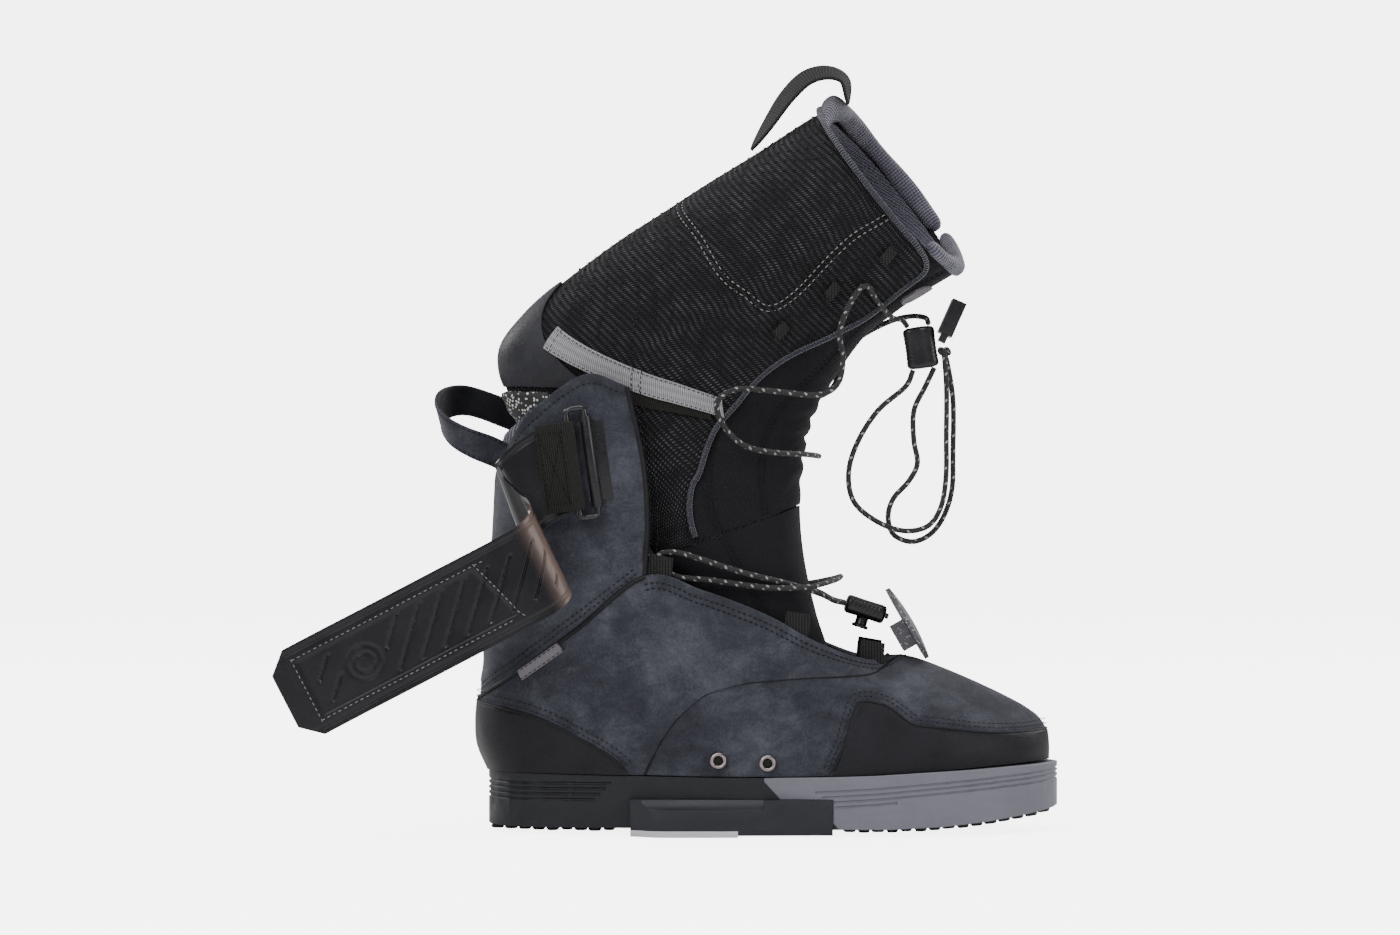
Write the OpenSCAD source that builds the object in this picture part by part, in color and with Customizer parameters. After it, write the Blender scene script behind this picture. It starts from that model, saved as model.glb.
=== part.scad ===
/* [Outer boot] */
// Length of the outsole from heel to toe
sole_length = 311; // [285:1:380]
// Width of the outsole at the ball of the foot
sole_width = 115; // [95:1:140]
// Extra height of the ankle cuff above the standard cut
cuff_raise = 0; // [-15:1:30]
// Thickness of the suede panels
suede_t = 3; // [1.5:0.1:4]
// Thickness of the fleece lining
lining_t = 2; // [1:0.1:3]
// Thickness of the rubber toe cap and heel counter
rand_t = 1.6; // [0.8:0.1:3]
// Thickness of the insole board
board_t = 2.5; // [1.5:0.1:4]

/* [Binding chassis] */
// Height of the chassis, base pad included
chassis_h = 20; // [16:0.5:22]
// Overall width of the two chassis wings
chassis_w = 122; // [112:1:134]
// Thickness of the pale base pad
pad_t = 3.5; // [2:0.1:6]
// Thread diameter of the chassis screws
screw_d = 5; // [3:0.1:7]

/* [Liner] */
// Wall thickness of the padded liner
liner_t = 5; // [3:0.1:7]
// Extra height of the liner's leg above the standard cut
leg_raise = 0; // [-20:1:40]
// Thickness of the liner's walking sole
walk_sole_t = 4; // [2:0.1:5]
// Forward lean of the half-withdrawn liner, in degrees
liner_lean = 52; // [50:0.5:54]
// How much higher the collar stands on its inner side than on its outer side
collar_slant = 18; // [0:1:24]

/* [Strap and ring] */
// Width of the ankle strap
strap_w = 50; // [38:1:54]
// Thickness of the strap's moulded cover
cover_t = 2.2; // [1:0.1:3]
// Thickness of the strap's hook backing
backing_t = 1.6; // [1:0.1:2.5]
// Wire diameter of the strap ring
wire_d = 3; // [2:0.1:4]
// Distance between the ring's two legs
ring_w = 10; // [9:0.5:14]
// Outer diameter of the hinge sleeve
sleeve_d = 6.4; // [5.5:0.1:8]
// Radial clearance of every turning or sliding fit
fit = 0.05; // [0.02:0.01:0.1]

/* [Laces] */
// Diameter of the laces
lace_d = 3; // [2:0.1:3.6]
// Diameter of the lower pull handle
puck_d = 44; // [32:1:48]
// Travel of each cord lock's button
button_travel = 3; // [1:0.5:4]

/* [Hidden] */

k = sole_length / 311;          // size of every long profile against the standard boot
ky = sole_width / 115;          // the same for widths
gap = 0.5;                      // air between sewn or glued layers
rand_gap = 0.9;                 // the same under the moulded rands, whose facets differ from the suede's
far_n = 13;                     // index of the toe station on the lower boot

// ---------- splines and skins ----------

function flip(p) = [p.x, -p.y, p.z];
function blend4(a, b, c, d, f) =
    0.5 * (2 * b + (c - a) * f + (2 * a - 5 * b + 4 * c - d) * f * f + (3 * b - a - 3 * c + d) * f * f * f);
function seg(n, t) = min(n - 2, max(0, floor(t)));
// Smooth curve through points, straight-ended
function curve(p, t) =
    let (n = len(p), i = seg(n, t),
         a = i > 0 ? p[i - 1] : 2 * p[0] - p[1],
         d = i < n - 2 ? p[i + 2] : 2 * p[n - 1] - p[n - 2])
    blend4(a, p[i], p[i + 1], d, t - i);
function mix(a, b, f) = a + (b - a) * f;
function smooth(f) = let (g = min(1, max(0, f))) g * g * (3 - 2 * g);
function unit(v) = v / norm(v);
// Outward direction of a surface f(a, v)
function normal_at(f, a, v) =
    let (e = 0.02) unit(cross(f(a, v + e) - f(a, v - e), f(a + e, v) - f(a - e, v)));
function grid_faces(na, nv) =
    let (m = nv + 1, o = (na + 1) * m)
    concat(
        [for (i = [0:na - 1], j = [0:nv - 1]) each
            [[i * m + j, (i + 1) * m + j, (i + 1) * m + j + 1], [i * m + j, (i + 1) * m + j + 1, i * m + j + 1]]],
        [for (i = [0:na - 1], j = [0:nv - 1]) each
            [[o + i * m + j, o + (i + 1) * m + j + 1, o + (i + 1) * m + j], [o + i * m + j, o + i * m + j + 1, o + (i + 1) * m + j + 1]]],
        [for (i = [0:na - 1]) each
            [[i * m, o + i * m, o + (i + 1) * m], [i * m, o + (i + 1) * m, (i + 1) * m],
             [i * m + nv, (i + 1) * m + nv, o + (i + 1) * m + nv], [i * m + nv, o + (i + 1) * m + nv, o + i * m + nv]]],
        [for (j = [0:nv - 1]) each
            [[j, j + 1, o + j + 1], [j, o + j + 1, o + j],
             [na * m + j, o + na * m + j, o + na * m + j + 1], [na * m + j, o + na * m + j + 1, na * m + j + 1]]]);
// A closed shell over part of a surface, from d_in to d_out along its normal; v_lo and v_hi are functions of a
module skin(f, a0, a1, na, v_lo, v_hi, nv, d_out, d_in) {
    at = [for (i = [0:na], j = [0:nv]) let (a = mix(a0, a1, i / na)) [a, mix(v_lo(a), v_hi(a), j / nv)]];
    base = [for (q = at) f(q[0], q[1])];
    out = [for (q = at) normal_at(f, q[0], q[1])];
    polyhedron(
        concat([for (i = [0:len(at) - 1]) base[i] + out[i] * d_out], [for (i = [0:len(at) - 1]) base[i] + out[i] * d_in]),
        grid_faces(na, nv));
}
function always(x) = function(a) x;

// Round cord swept along a smooth route
function side_of(t) = unit(cross(t, abs(t.y) < 0.9 ? [0, 1, 0] : [1, 0, 0]));
function carried(u, t) = unit(u - t * (u * t));
function frames(t, i = 1, u = []) =
    i >= len(t) ? u : frames(t, i + 1, concat(u, [carried(u[len(u) - 1], t[i])]));
module cord(route, d, rings, sides = 8) {
    n = len(route) - 1;
    p = [for (i = [0:rings]) curve(route, n * i / rings)];
    t = [for (i = [0:rings]) unit(p[min(rings, i + 1)] - p[max(0, i - 1)])];
    u = frames(t, 1, [side_of(t[0])]);
    polyhedron(
        [for (i = [0:rings], j = [0:sides - 1])
            let (w = cross(t[i], u[i]), q = 360 * j / sides) p[i] + d / 2 * (u[i] * cos(q) + w * sin(q))],
        concat(
            [[for (j = [0:sides - 1]) j]],
            [[for (j = [sides - 1:-1:0]) rings * sides + j]],
            [for (i = [0:rings - 1], j = [0:sides - 1]) let (j2 = (j + 1) % sides) each
                [[i * sides + j, (i + 1) * sides + j, (i + 1) * sides + j2], [i * sides + j, (i + 1) * sides + j2, i * sides + j2]]]));
}
// Flat band: each station is [centre, direction across the width]; d_out and d_in lie along its face
module band(st, w, d_out, d_in, n) {
    m = len(st) - 1;
    c = [for (i = [0:n]) curve([for (s = st) s[0]], m * i / n)];
    x = [for (i = [0:n]) unit(curve([for (s = st) s[1]], m * i / n))];
    t = [for (i = [0:n]) unit(c[min(n, i + 1)] - c[max(0, i - 1)])];
    z = [for (i = [0:n]) unit(cross(x[i], t[i]))];
    polyhedron(
        [for (i = [0:n]) each [c[i] + x[i] * w / 2 + z[i] * d_out, c[i] - x[i] * w / 2 + z[i] * d_out,
                               c[i] - x[i] * w / 2 + z[i] * d_in, c[i] + x[i] * w / 2 + z[i] * d_in]],
        concat([[0, 2, 1], [0, 3, 2], [4 * n, 4 * n + 1, 4 * n + 2], [4 * n, 4 * n + 2, 4 * n + 3]],
            [for (i = [0:n - 1], j = [0:3]) let (a = 4 * i + j, b = 4 * i + (j + 1) % 4) each [[a, b + 4, a + 4], [a, b, b + 4]]]));
}

// ---------- outer boot surfaces ----------

function s3(x, y, z) = [x * k, y * ky, z * k];
// Columns from the sole line up to the ankle seam, the lace throat or the vamp ridge, heel to toe
lower_cols = [
    [s3(-131, 0, 34), s3(-136.5, 0, 47), s3(-137.5, 0, 60), s3(-136.5, 0, 73)],
    [s3(-125, 21, 34), s3(-130, 23, 48), s3(-131, 24, 62), s3(-130, 25, 78)],
    [s3(-110, 35, 33.8), s3(-114, 37.5, 52), s3(-114.5, 39, 70), s3(-112, 40, 90)],
    [s3(-85, 41, 33.4), s3(-86, 44.5, 58), s3(-85, 46.5, 84), s3(-82, 48, 112)],
    [s3(-45, 45, 32.6), s3(-45, 48.5, 68), s3(-45, 50.5, 104), s3(-45, 50.5, 141)],
    [s3(-14, 48, 32), s3(-14, 51, 66), s3(-14, 52, 100), s3(-14, 50, 133)],
    [s3(20, 51, 32), s3(20, 53.5, 60), s3(20, 53, 90), s3(20, 48.5, 120)],
    [s3(50, 54, 32.6), s3(50, 56, 55), s3(50, 53, 82), s3(48, 44, 105)],
    [s3(80, 54.5, 33.6), s3(80, 55.5, 50), s3(80, 49, 75), s3(76, 28, 95)],
    [s3(105, 51.5, 35), s3(105, 52, 48), s3(104, 43, 72), s3(96, 0, 96)],
    [s3(128, 45.5, 36.4), s3(128, 45.5, 48), s3(126, 36, 66), s3(119, 0, 88)],
    [s3(150, 34, 37.8), s3(150, 34, 48), s3(148, 27, 60), s3(142, 0, 78)],
    [s3(167, 19, 38.8), s3(167, 19, 48), s3(165, 15, 57), s3(160, 0, 69)],
    [s3(175, 0, 39.3), s3(175, 0, 48), s3(173.5, 0, 57), s3(169, 0, 63)]
];
function lower_col(i, v) =
    let (c = lower_cols[i], j = seg(4, v),
         a = j > 0 ? c[j - 1] : 2 * c[0] - c[1],
         d = j < 2 ? c[j + 2] : i >= 9 ? flip(c[2]) : 2 * c[3] - c[2])
    blend4(a, c[j], c[j + 1], d, v - j);
// a runs 0 at the heel to 13 at the toe on the far side, negative on the near side; v runs 0 to 3
function lower(a, v) =
    a < 0 ? flip(lower(-a, v)) :
    a > far_n ? flip(lower(2 * far_n - a, v)) :
    v > 3 ? flip(lower(a, 6 - v)) :
    let (i = seg(far_n + 1, a),
         before = i > 0 ? lower_col(i - 1, v) : flip(lower_col(1, v)),
         after = i < far_n - 1 ? lower_col(i + 2, v) : flip(lower_col(far_n - 1, v)),
         p = blend4(before, lower_col(i, v), lower_col(i + 1, v), after, a - i))
    [p.x, max(0, p.y), p.z];

function c3(x, y, z) = [x * k, y * ky, z * k + cuff_raise];
cuff_cols = [
    [s3(-136.5, 0, 73), s3(-132, 0, 115), s3(-129, 0, 160), c3(-127, 0, 202)],
    [s3(-130, 25, 78), s3(-126, 27, 122), s3(-124, 29, 168), c3(-119.5, 29, 212)],
    [s3(-112, 40, 90), s3(-109, 43, 136), s3(-108, 45, 182), c3(-107, 44, 229)],
    [s3(-82, 48, 112), s3(-81, 50.5, 158), s3(-80, 51.5, 204), c3(-78, 51, 249)],
    [s3(-45, 50.5, 141), s3(-43.5, 51.5, 170), s3(-46, 51.5, 203), c3(-55, 51, 243)]
];
// The ankle cuff: a runs 0 at the back seam to 4 at its front edge, v from the ankle seam up to the collar
function cuff(a, v) =
    a < 0 ? flip(cuff(-a, v)) :
    let (i = seg(5, a),
         before = i > 0 ? curve(cuff_cols[i - 1], v) : flip(curve(cuff_cols[1], v)),
         after = i < 3 ? curve(cuff_cols[i + 2], v) : 2 * curve(cuff_cols[4], v) - curve(cuff_cols[3], v))
    blend4(before, curve(cuff_cols[i], v), curve(cuff_cols[i + 1], v), after, a - i);
cuff_skin = function(a, v) cuff(a, v);
lower_skin = function(a, v) lower(a, v);
// The fleece stands up above the suede at the back of the collar
collar_lift = 16;
lining_gap = 1.5;
lining_skin = function(a, v) cuff(a, v) + [0, 0, collar_lift * smooth(v - 2) * (1 - smooth(abs(a) / 3))];

// ---------- sole ----------

sole_grow = [for (x = [0:far_n]) mix(0.5, 6, smooth((x - 3) / 8))];   // how far the sole stands out past the upper
function outline(grow, steps = 26) =
    let (side = [for (i = [0:steps]) let (a = far_n * i / steps, p = lower(a, 0), q = normal_at(lower_skin, a, 0.05),
                                          n = unit([q.x, q.y]), g = grow(a)) [p.x + n.x * g, i == 0 || i == steps ? 0 : max(0, p.y + n.y * g)]])
    concat(side, [for (i = [steps - 1:-1:1]) [side[i].x, -side[i].y]]);
sole_margin = function(a) curve([for (g = sole_grow) [g, 0]], a)[0];
// Side profiles, heel to toe: the top under the upper, the bottom with its toe spring
sole_top = [for (p = [[-150, 33.6], [-110, 33.3], [-60, 32.3], [-14, 31.5], [20, 31.5], [50, 32.1], [80, 33.1], [105, 34.5], [128, 35.6], [150, 36.8], [200, 38.6]]) p * k];
sole_bottom = [for (p = [[-150, 4], [85, 4], [115, 5.2], [140, 7.6], [160, 10.3], [200, 16.5]]) p * k];
module between(bottom, top, w = 300) {
    rotate([90, 0, 0]) linear_extrude(w, center = true)
        polygon(concat(bottom, [for (i = [len(top) - 1:-1:0]) top[i]]));
}
function raised(line, h) = [for (p = line) p + [0, h]];
// The two-colour split of the sole wall, as a side profile of the front part
split = [for (p = [[19, 60], [19, 29.5], [34, 13.3], [52, 12.2], [60, 3], [60, -5], [220, -5], [220, 60]]) p * k];
module sole_block() {
    intersection() {
        linear_extrude(60 * k) polygon(outline(sole_margin));
        between(sole_bottom, sole_top);
    }
}
module front_zone(extra = 0) {
    rotate([90, 0, 0]) linear_extrude(300, center = true) translate([extra, 0]) polygon(split);
}
// Plan of the chassis: a waisted plate with a bowed wing each side
wing_x0 = -53 * k;
wing_x1 = 56 * k;
wing_end = 58.5 * ky;
function wing_y(f) = f < 0.14 ? mix(52 * ky, chassis_w / 2, smooth(f / 0.14)) : mix(chassis_w / 2, wing_end, smooth((f - 0.35) / 0.65));
module chassis_plan() {
    n = 20;
    near = [for (i = [0:n]) [mix(wing_x0, wing_x1, i / n), wing_y(i / n)]];
    polygon(concat(near, [for (i = [n:-1:0]) [near[i].x, -near[i].y]]));
}
// The pad covers the rear half of the chassis, which elsewhere stands this far off the board
pad_step = 1;
module pad_zone() { translate([(wing_x0 - 1 + pad_end) / 2, 0]) square([pad_end - wing_x0 + 1, 200], center = true); }
pad_end = 5 * k;
screw_x = [-36 * k, 34 * k];
screw_y = 22;
module at_screws() {
    for (x = screw_x, y = [-screw_y, screw_y]) translate([x, y, 0]) children();
}
head_r = screw_d;
head_h = 3;
shank_h = 9;
module outsole_rear() {
    color("#26262b") difference() {
        sole_block();
        front_zone();
        translate([0, 0, -1]) linear_extrude(chassis_h + 1) chassis_plan();
        at_screws() cylinder(r = screw_d / 2, h = chassis_h + shank_h, $fn = 32);
    }
}
module outsole_front() {
    color("#8c8b93") intersection() {
        difference() {
            sole_block();
            translate([0, 0, -1]) linear_extrude(chassis_h + 1) chassis_plan();
            at_screws() cylinder(r = screw_d / 2, h = chassis_h + shank_h, $fn = 32);
        }
        front_zone();
    }
}
module chassis() {
    color("#2b2b30") difference() {
        translate([0, 0, pad_step]) linear_extrude(chassis_h - pad_step) chassis_plan();
        translate([0, 0, -1]) linear_extrude(pad_t + 1) pad_zone();
        // A finger scoop in the top of each wing
        for (side = [-1, 1]) translate([-14 * k, side * (chassis_w / 2 + 4), chassis_h + 7]) rotate([0, 90, 0])
            cylinder(r = 13, h = 66 * k, center = true, $fn = 64);
        at_screws() {
            cylinder(r = screw_d / 2, h = chassis_h + 1, $fn = 32);
            translate([0, 0, -1]) cylinder(r = head_r + gap, h = pad_t + head_h + 1, $fn = 32);
        }
    }
}
module chassis_base_pad() {
    color("#c9c9ce") difference() {
        linear_extrude(pad_t) intersection() {
            chassis_plan();
            pad_zone();
        }
        at_screws() translate([0, 0, -1]) cylinder(r = head_r + 1, h = pad_t + 2, $fn = 32);
    }
}
module chassis_screws() {
    color("silver") at_screws() difference() {
        union() {
            translate([0, 0, pad_t]) cylinder(r = head_r, h = head_h, $fn = 32);
            translate([0, 0, pad_t + head_h]) cylinder(r = screw_d / 2 - fit, h = chassis_h + shank_h - pad_t - head_h, $fn = 32);
        }
        translate([0, 0, pad_t - 1]) cylinder(r = head_r * 0.5, h = 2.4, $fn = 6);
    }
}
module insole_board() {
    color("#3a3a3e") intersection() {
        linear_extrude(60 * k) polygon(outline(always(-suede_t - lining_t - 4)));
        between(raised(sole_top, gap), raised(sole_top, gap + board_t));
    }
}

// ---------- upper ----------

quarter_end = 9;
module quarter(side) {
    color("#4a4d57") skin(lower_skin, side > 0 ? 0.01 : -quarter_end, side > 0 ? quarter_end : -0.01, 22,
        always(0), function(a) 2.985, 7, 0, -suede_t);
}
module quarter_near() { quarter(-1); }
module quarter_far() { quarter(1); }
module vamp() {
    color("#5a5d66") skin(lower_skin, quarter_end + 0.03, far_n - 0.02, 9, always(0.04), always(5.96), 17, 0, -suede_t);
}
// The cap's top line has a hump at each side, then runs level round the toe
cap_from = 7.15;
cap_line = function(a) let (s = min(a, 2 * far_n - a) - cap_from)
    mix(0.05, 1, smooth(s / 0.55)) * mix(1.85, 1.5, smooth((s - 0.9) / 0.8)) + 0.32 * smooth((s - 3) / 2.6);
module toe_cap() {
    color("#222227") skin(lower_skin, cap_from, 2 * far_n - cap_from, 34, always(0.02), cap_line, 5, rand_gap + rand_t, rand_gap);
}
counter_to = 3.75;
counter_line = function(a) mix(2.85, 0.06, pow(abs(a) / counter_to, 1.6));
module heel_counter() {
    color("#222227") skin(lower_skin, -counter_to, counter_to, 24, always(0.02), counter_line, 4, rand_gap + rand_t, rand_gap);
}
module cuff_half(side) {
    color("#4a4d57") skin(cuff_skin, side > 0 ? 0.01 : -4, side > 0 ? 4 : -0.01, 10, always(0.02), always(3), 8, 0, -suede_t);
}
module cuff_near() { cuff_half(-1); }
module cuff_far() { cuff_half(1); }
module collar_lining() {
    color("#6d6f86") skin(lining_skin, -3.9, 3.9, 22, always(0.35), always(2.97), 8, -suede_t - lining_gap, -suede_t - lining_gap - lining_t);
}
eyelet_a = [5.25, 6.03];
module drain_eyelets() {
    color("#8d8587") for (side = [-1, 1], a = eyelet_a) {
        p = lower(side * a, 0.25);
        translate([p.x, p.y + side * (0.8 + rand_gap), p.z + 0.5]) rotate([90, 0, 0]) difference() {
            cylinder(r = 4.6, h = 1.6, center = true, $fn = 48);
            cylinder(r = 2.5, h = 4, center = true, $fn = 48);
        }
    }
}
module side_label() {
    p = lower(-2.55, 2.75);
    color("#b9b7bd") translate([p.x, p.y - 2.2, p.z]) rotate([0, -35, -9]) cube([24, 0.8, 6], center = true);
}
heel_loop = [
    [[-127, -26, 207], [0, -0.1, 1]], [[-139, -28, 212], [-0.1, -0.15, 1]], [[-151, -21, 219], [-0.2, -0.25, 1]],
    [[-157, -5, 227], [-0.25, -0.2, 1]], [[-155, 10, 234], [-0.2, -0.1, 1]], [[-144, 21, 236], [-0.1, 0, 1]],
    [[-126, 27, 230], [0, 0, 1]]
];
loop_w = 17;
module heel_pull_loop() {
    shift = [127 * (1 - k), 0, 207 * (k - 1) + cuff_raise];
    color("#3f424c") band([for (s = heel_loop) [[s[0].x, s[0].y * ky, s[0].z] + shift, s[1]]], loop_w, 2.2, 0, 18);
}

// ---------- strap ring and strap ----------

// The ring hangs beside the near cuff; its front leg turns in the sleeve, its rear leg carries the strap
ring_lean = 8;
ring_x = -73.8 * k;
ring_y = -(51.5 * ky + sleeve_d / 2 + 2.4);
ring_z = 202 * k + cuff_raise;
leg_h = strap_w + 4;            // clear height inside the ring
sleeve_h = strap_w - 1;
module on_ring() {
    translate([ring_x, ring_y, ring_z]) rotate([0, -ring_lean, 0]) children();
}
corner_r = 2.5;
module ring_corner(x, z, turn) {
    translate([x, 0, z]) rotate([90, turn, 0]) rotate_extrude(angle = 90) translate([corner_r, 0]) circle(d = wire_d, $fn = 32);
}
module strap_ring() {
    color("silver") on_ring() {
        for (x = [0, -ring_w]) translate([x, 0, -leg_h / 2]) cylinder(d = wire_d, h = leg_h, $fn = 32);
        for (z = [-1, 1]) translate([-ring_w + corner_r, 0, z * (leg_h / 2 + corner_r)]) rotate([0, 90, 0])
            cylinder(d = wire_d, h = ring_w - 2 * corner_r, $fn = 32);
        ring_corner(-corner_r, leg_h / 2, 0);
        ring_corner(-ring_w + corner_r, leg_h / 2, -90);
        ring_corner(-ring_w + corner_r, -leg_h / 2, 180);
        ring_corner(-corner_r, -leg_h / 2, 90);
    }
}
module ring_sleeve() {
    // Tube for the ring's front leg on a flat foot sewn to the cuff
    foot_y = -ring_y - 51.5 * ky - 1.2;
    color("#1d1d22") on_ring() difference() {
        union() {
            cylinder(d = sleeve_d, h = sleeve_h, center = true, $fn = 48);
            translate([0, foot_y / 2, 0]) cube([3, foot_y, sleeve_h - 6], center = true);
            translate([2.5, foot_y, 0]) cube([13, 1, sleeve_h - 6], center = true);
        }
        cylinder(d = wire_d + 2 * fit, h = sleeve_h + 2, center = true, $fn = 48);
    }
}
// Strap stations in the ring's own frame: rearwards along the cuff, out round a fold, then back past the heel
strap_y = 4.5;                  // the strap starts this far outside the ring's legs
strap_fold = [
    [[-13.5, -strap_y, -1], [0, 0, 1]], [[-27, -5.5, -5], [-0.08, 0, 1]], [[-38, -6, -11], [-0.14, 0, 1]],
    [[-45, -10, -18], [-0.2, 0.05, 1]], [[-42, -16, -25], [-0.24, 0.1, 1]], [[-36, -20, -32], [-0.27, 0.1, 1]],
    [[-30, -24, -39], [-0.3, 0.05, 1]], [[-28, -30, -46], [-0.32, 0, 1]], [[-35, -34.5, -52], [-0.34, -0.02, 1]],
    [[-48, -36, -57.5], [-0.35, 0, 1]], [[-79, -37, -68.5], [-0.35, 0, 1]], [[-114, -38, -81], [-0.35, 0, 1]],
    [[-148, -39, -93], [-0.35, 0, 1]], [[-177, -40, -103.5], [-0.35, 0, 1]]
];
module strap_cover() {
    color("#2e2e36") on_ring() band(strap_fold, strap_w, cover_t / 2, -cover_t / 2, 40);
}
module strap_backing() {
    // Hook pad on the strap's inner face, stopping short of both ends
    color("#1a1a1d") on_ring() band([for (i = [9:12]) strap_fold[i]], strap_w - 10, -cover_t / 2 - gap, -cover_t / 2 - gap - backing_t, 8);
}
module strap_webbing() {
    // A tube round the ring's rear leg with a tail that lies over the start of the cover
    eye_r = wire_d / 2 + fit;
    tail_y = -strap_y - cover_t / 2 - 2.2;
    tail_t = 1.4;
    w = strap_w - 2;
    color("#3a3833") on_ring() difference() {
        union() {
            translate([-ring_w, 0, -1]) cylinder(r = eye_r + tail_t, h = w, center = true, $fn = 48);
            translate([-ring_w - 8.5, tail_y, -1]) cube([17, tail_t, w], center = true);
            translate([-ring_w - 1, tail_y / 2, -1]) cube([2, -tail_y + tail_t, w], center = true);
        }
        translate([-ring_w, 0, 0]) cylinder(r = eye_r, h = strap_w + 4, center = true, $fn = 48);
    }
}

// ---------- laces, locks and handles of the outer boot ----------

guide_a = [4.25, 6.6, 8.1];
module lower_lace_guides() {
    color("#17171a") for (side = [-1, 1], a = guide_a) {
        p = lower(side * a, 3);
        translate([p.x, p.y - side * (suede_t / 2 + 1), p.z + 5.5]) rotate([0, 10, 0]) difference() {
            cube([13, 2.4, 8], center = true);
            rotate([0, 90, 0]) cylinder(d = 1.2, h = 20, center = true, $fn = 24);
        }
    }
}
lower_route = [
    [64, -6.3, 124.5], [58, -14, 126], [50, -25, 130], [32, -38, 136], [8, -44, 142], [-14, -44.5, 149], [-28, -45, 153],
    [-37, -45.5, 152], [-39, -45.5, 147], [-28, -44.5, 140], [-10, -44, 138], [20, -43.5, 134], [42, -39, 134],
    [57, -21, 137], [62, 0, 139], [57, 21, 137], [42, 39, 134], [20, 43.5, 134], [-10, 44, 138], [-28, 44.5, 140],
    [-39, 45.5, 147], [-37, 45.5, 152], [-28, 45, 153], [-14, 44.5, 149], [8, 44, 142], [32, 38, 136], [50, 25, 130],
    [58, 14, 126], [64, 6.3, 124.5]
];
module lower_lace() {
    color("#141416") cord(lower_route, lace_d, 72);
}
// Cord lock in its own frame: the cords run along X, the button rides on top
lock_l = 23;
lock_w = 18;
lock_h = 11;
lock_floor = 1.6;               // thickness left under the button's bore
cord_y = 5.9;                   // the two cords pass this far each side of the button
button_r = 3.4;
button_cap = 1.8;
module lock_body() {
    difference() {
        hull() for (x = [-1, 1], z = [-1, 1])
            translate([x * (lock_l / 2 - 3), 0, z * (lock_h / 2 - 3)]) rotate([90, 0, 0]) cylinder(r = 3, h = lock_w, center = true, $fn = 24);
        translate([0, 0, lock_floor - lock_h / 2]) cylinder(r = button_r + fit, h = lock_h, $fn = 48);
        for (y = [-cord_y, cord_y]) translate([0, y, 0]) rotate([0, 90, 0])
            cylinder(d = lace_d + 0.6, h = lock_l + 2, center = true, $fn = 32);
    }
}
spring_h = button_travel + 1.4;
module lock_button() {
    // Capped plunger; its foot rests on the spring and its cap stops a little above the body
    foot = lock_floor - lock_h / 2 + spring_h;
    cap = lock_h / 2 + button_travel + 0.4;
    translate([0, 0, foot]) cylinder(r = button_r, h = cap - foot + 0.5, $fn = 48);
    translate([0, 0, cap]) cylinder(r = button_r + 1.2, h = button_cap, $fn = 48);
}
module lock_spring() {
    translate([0, 0, lock_floor - lock_h / 2]) difference() {
        cylinder(r = button_r - 0.6, h = spring_h, $fn = 48);
        translate([0, 0, -1]) cylinder(r = button_r - 1.5, h = spring_h + 2, $fn = 48);
    }
}
lower_lock_at = [75.5 * k, 0, 121 * k];
lower_lock_lean = 18;
// The button faces down into the throat
module on_lower_lock() { translate(lower_lock_at) rotate([180, lower_lock_lean, 0]) children(); }
module lower_lock_body() { color("#1a1a1e") on_lower_lock() lock_body(); }
module lower_lock_button() { color("#2a2a30") on_lower_lock() lock_button(); }
module lower_lock_spring() { color("silver") on_lower_lock() lock_spring(); }
handle_lean = 60;
handle_at = lower_lock_at + [22, 0, -8.5];
module on_handle() { translate(handle_at) rotate([0, handle_lean, 0]) children(); }
module lower_handle_cord() {
    color("#141416") for (y = [-cord_y, cord_y])
        on_lower_lock() translate([lock_l / 2, y, 0]) rotate([0, 90, 0]) cylinder(d = lace_d, h = 1.6, $fn = 24);
}
boss = [15, 20, 8];
module lower_pull_handle() {
    // Round finger plate, domed on its outer face, on a square boss that grips the cords
    dome = 2.2;
    edge = 2.4;
    color("#77767e") on_handle() {
        rotate_extrude($fn = 72) polygon(concat([[0, 0], [puck_d / 2, 0]],
            [for (i = [0:8]) [puck_d / 2 * (1 - i / 8), edge + dome * (1 - pow(1 - i / 8, 2))]]));
        difference() {
            translate([4.5, 0, (0.5 - boss.z) / 2]) cube(boss + [0, 0, 0.5], center = true);
            for (y = [-cord_y, cord_y]) translate([-3, y, -boss.z / 2]) rotate([0, 90, 0])
                cylinder(d = lace_d + 0.4, h = 8, center = true, $fn = 24);
        }
    }
}

// ---------- liner ----------

// The liner is drawn flat on its sole, heel at the origin, then leaned forward out of the boot
liner_at = [-127 * k, 0, 244.5 * k];
module on_liner() { translate(liner_at) rotate([0, liner_lean, 0]) children(); }
function l2(x, z) = [x * k, z * k];
function g2(x, z) = [x * k, z * k + leg_raise * smooth((z - 100) / 120)];
// Rings from toe to collar: [sole or back point, top or front point, half width]
rings = [
    [l2(265, 13), l2(265, 21), 11], [l2(253, 3), l2(256, 39), 27], [l2(229, 0.5), l2(234, 52), 35],
    [l2(199, 0), l2(207, 62), 38.5], [l2(165, 0), l2(180, 75), 38.5], [l2(125, 0), l2(155, 91), 37],
    [l2(85, 0), l2(138, 106), 36], [l2(45, 0), l2(127, 118), 35.5], [l2(12, 1), l2(119, 131), 35.5],
    [l2(-12, 12), l2(113, 146), 37], [l2(-20, 35), l2(108, 161), 39], [l2(-22, 65), l2(104, 178), 42],
    [l2(-21, 98), g2(104, 192), 45], [g2(-17.5, 138), g2(104.5, 205), 47.5], [g2(-13.5, 178), g2(105.5, 218), 49],
    [g2(-10.5, 208), g2(106.5, 226), 49.5], [g2(-8.5, 233), g2(107.5, 234), 49.5]
];
top_n = len(rings) - 1;
function power(x, e) = sign(x) * pow(abs(x), e);
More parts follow.
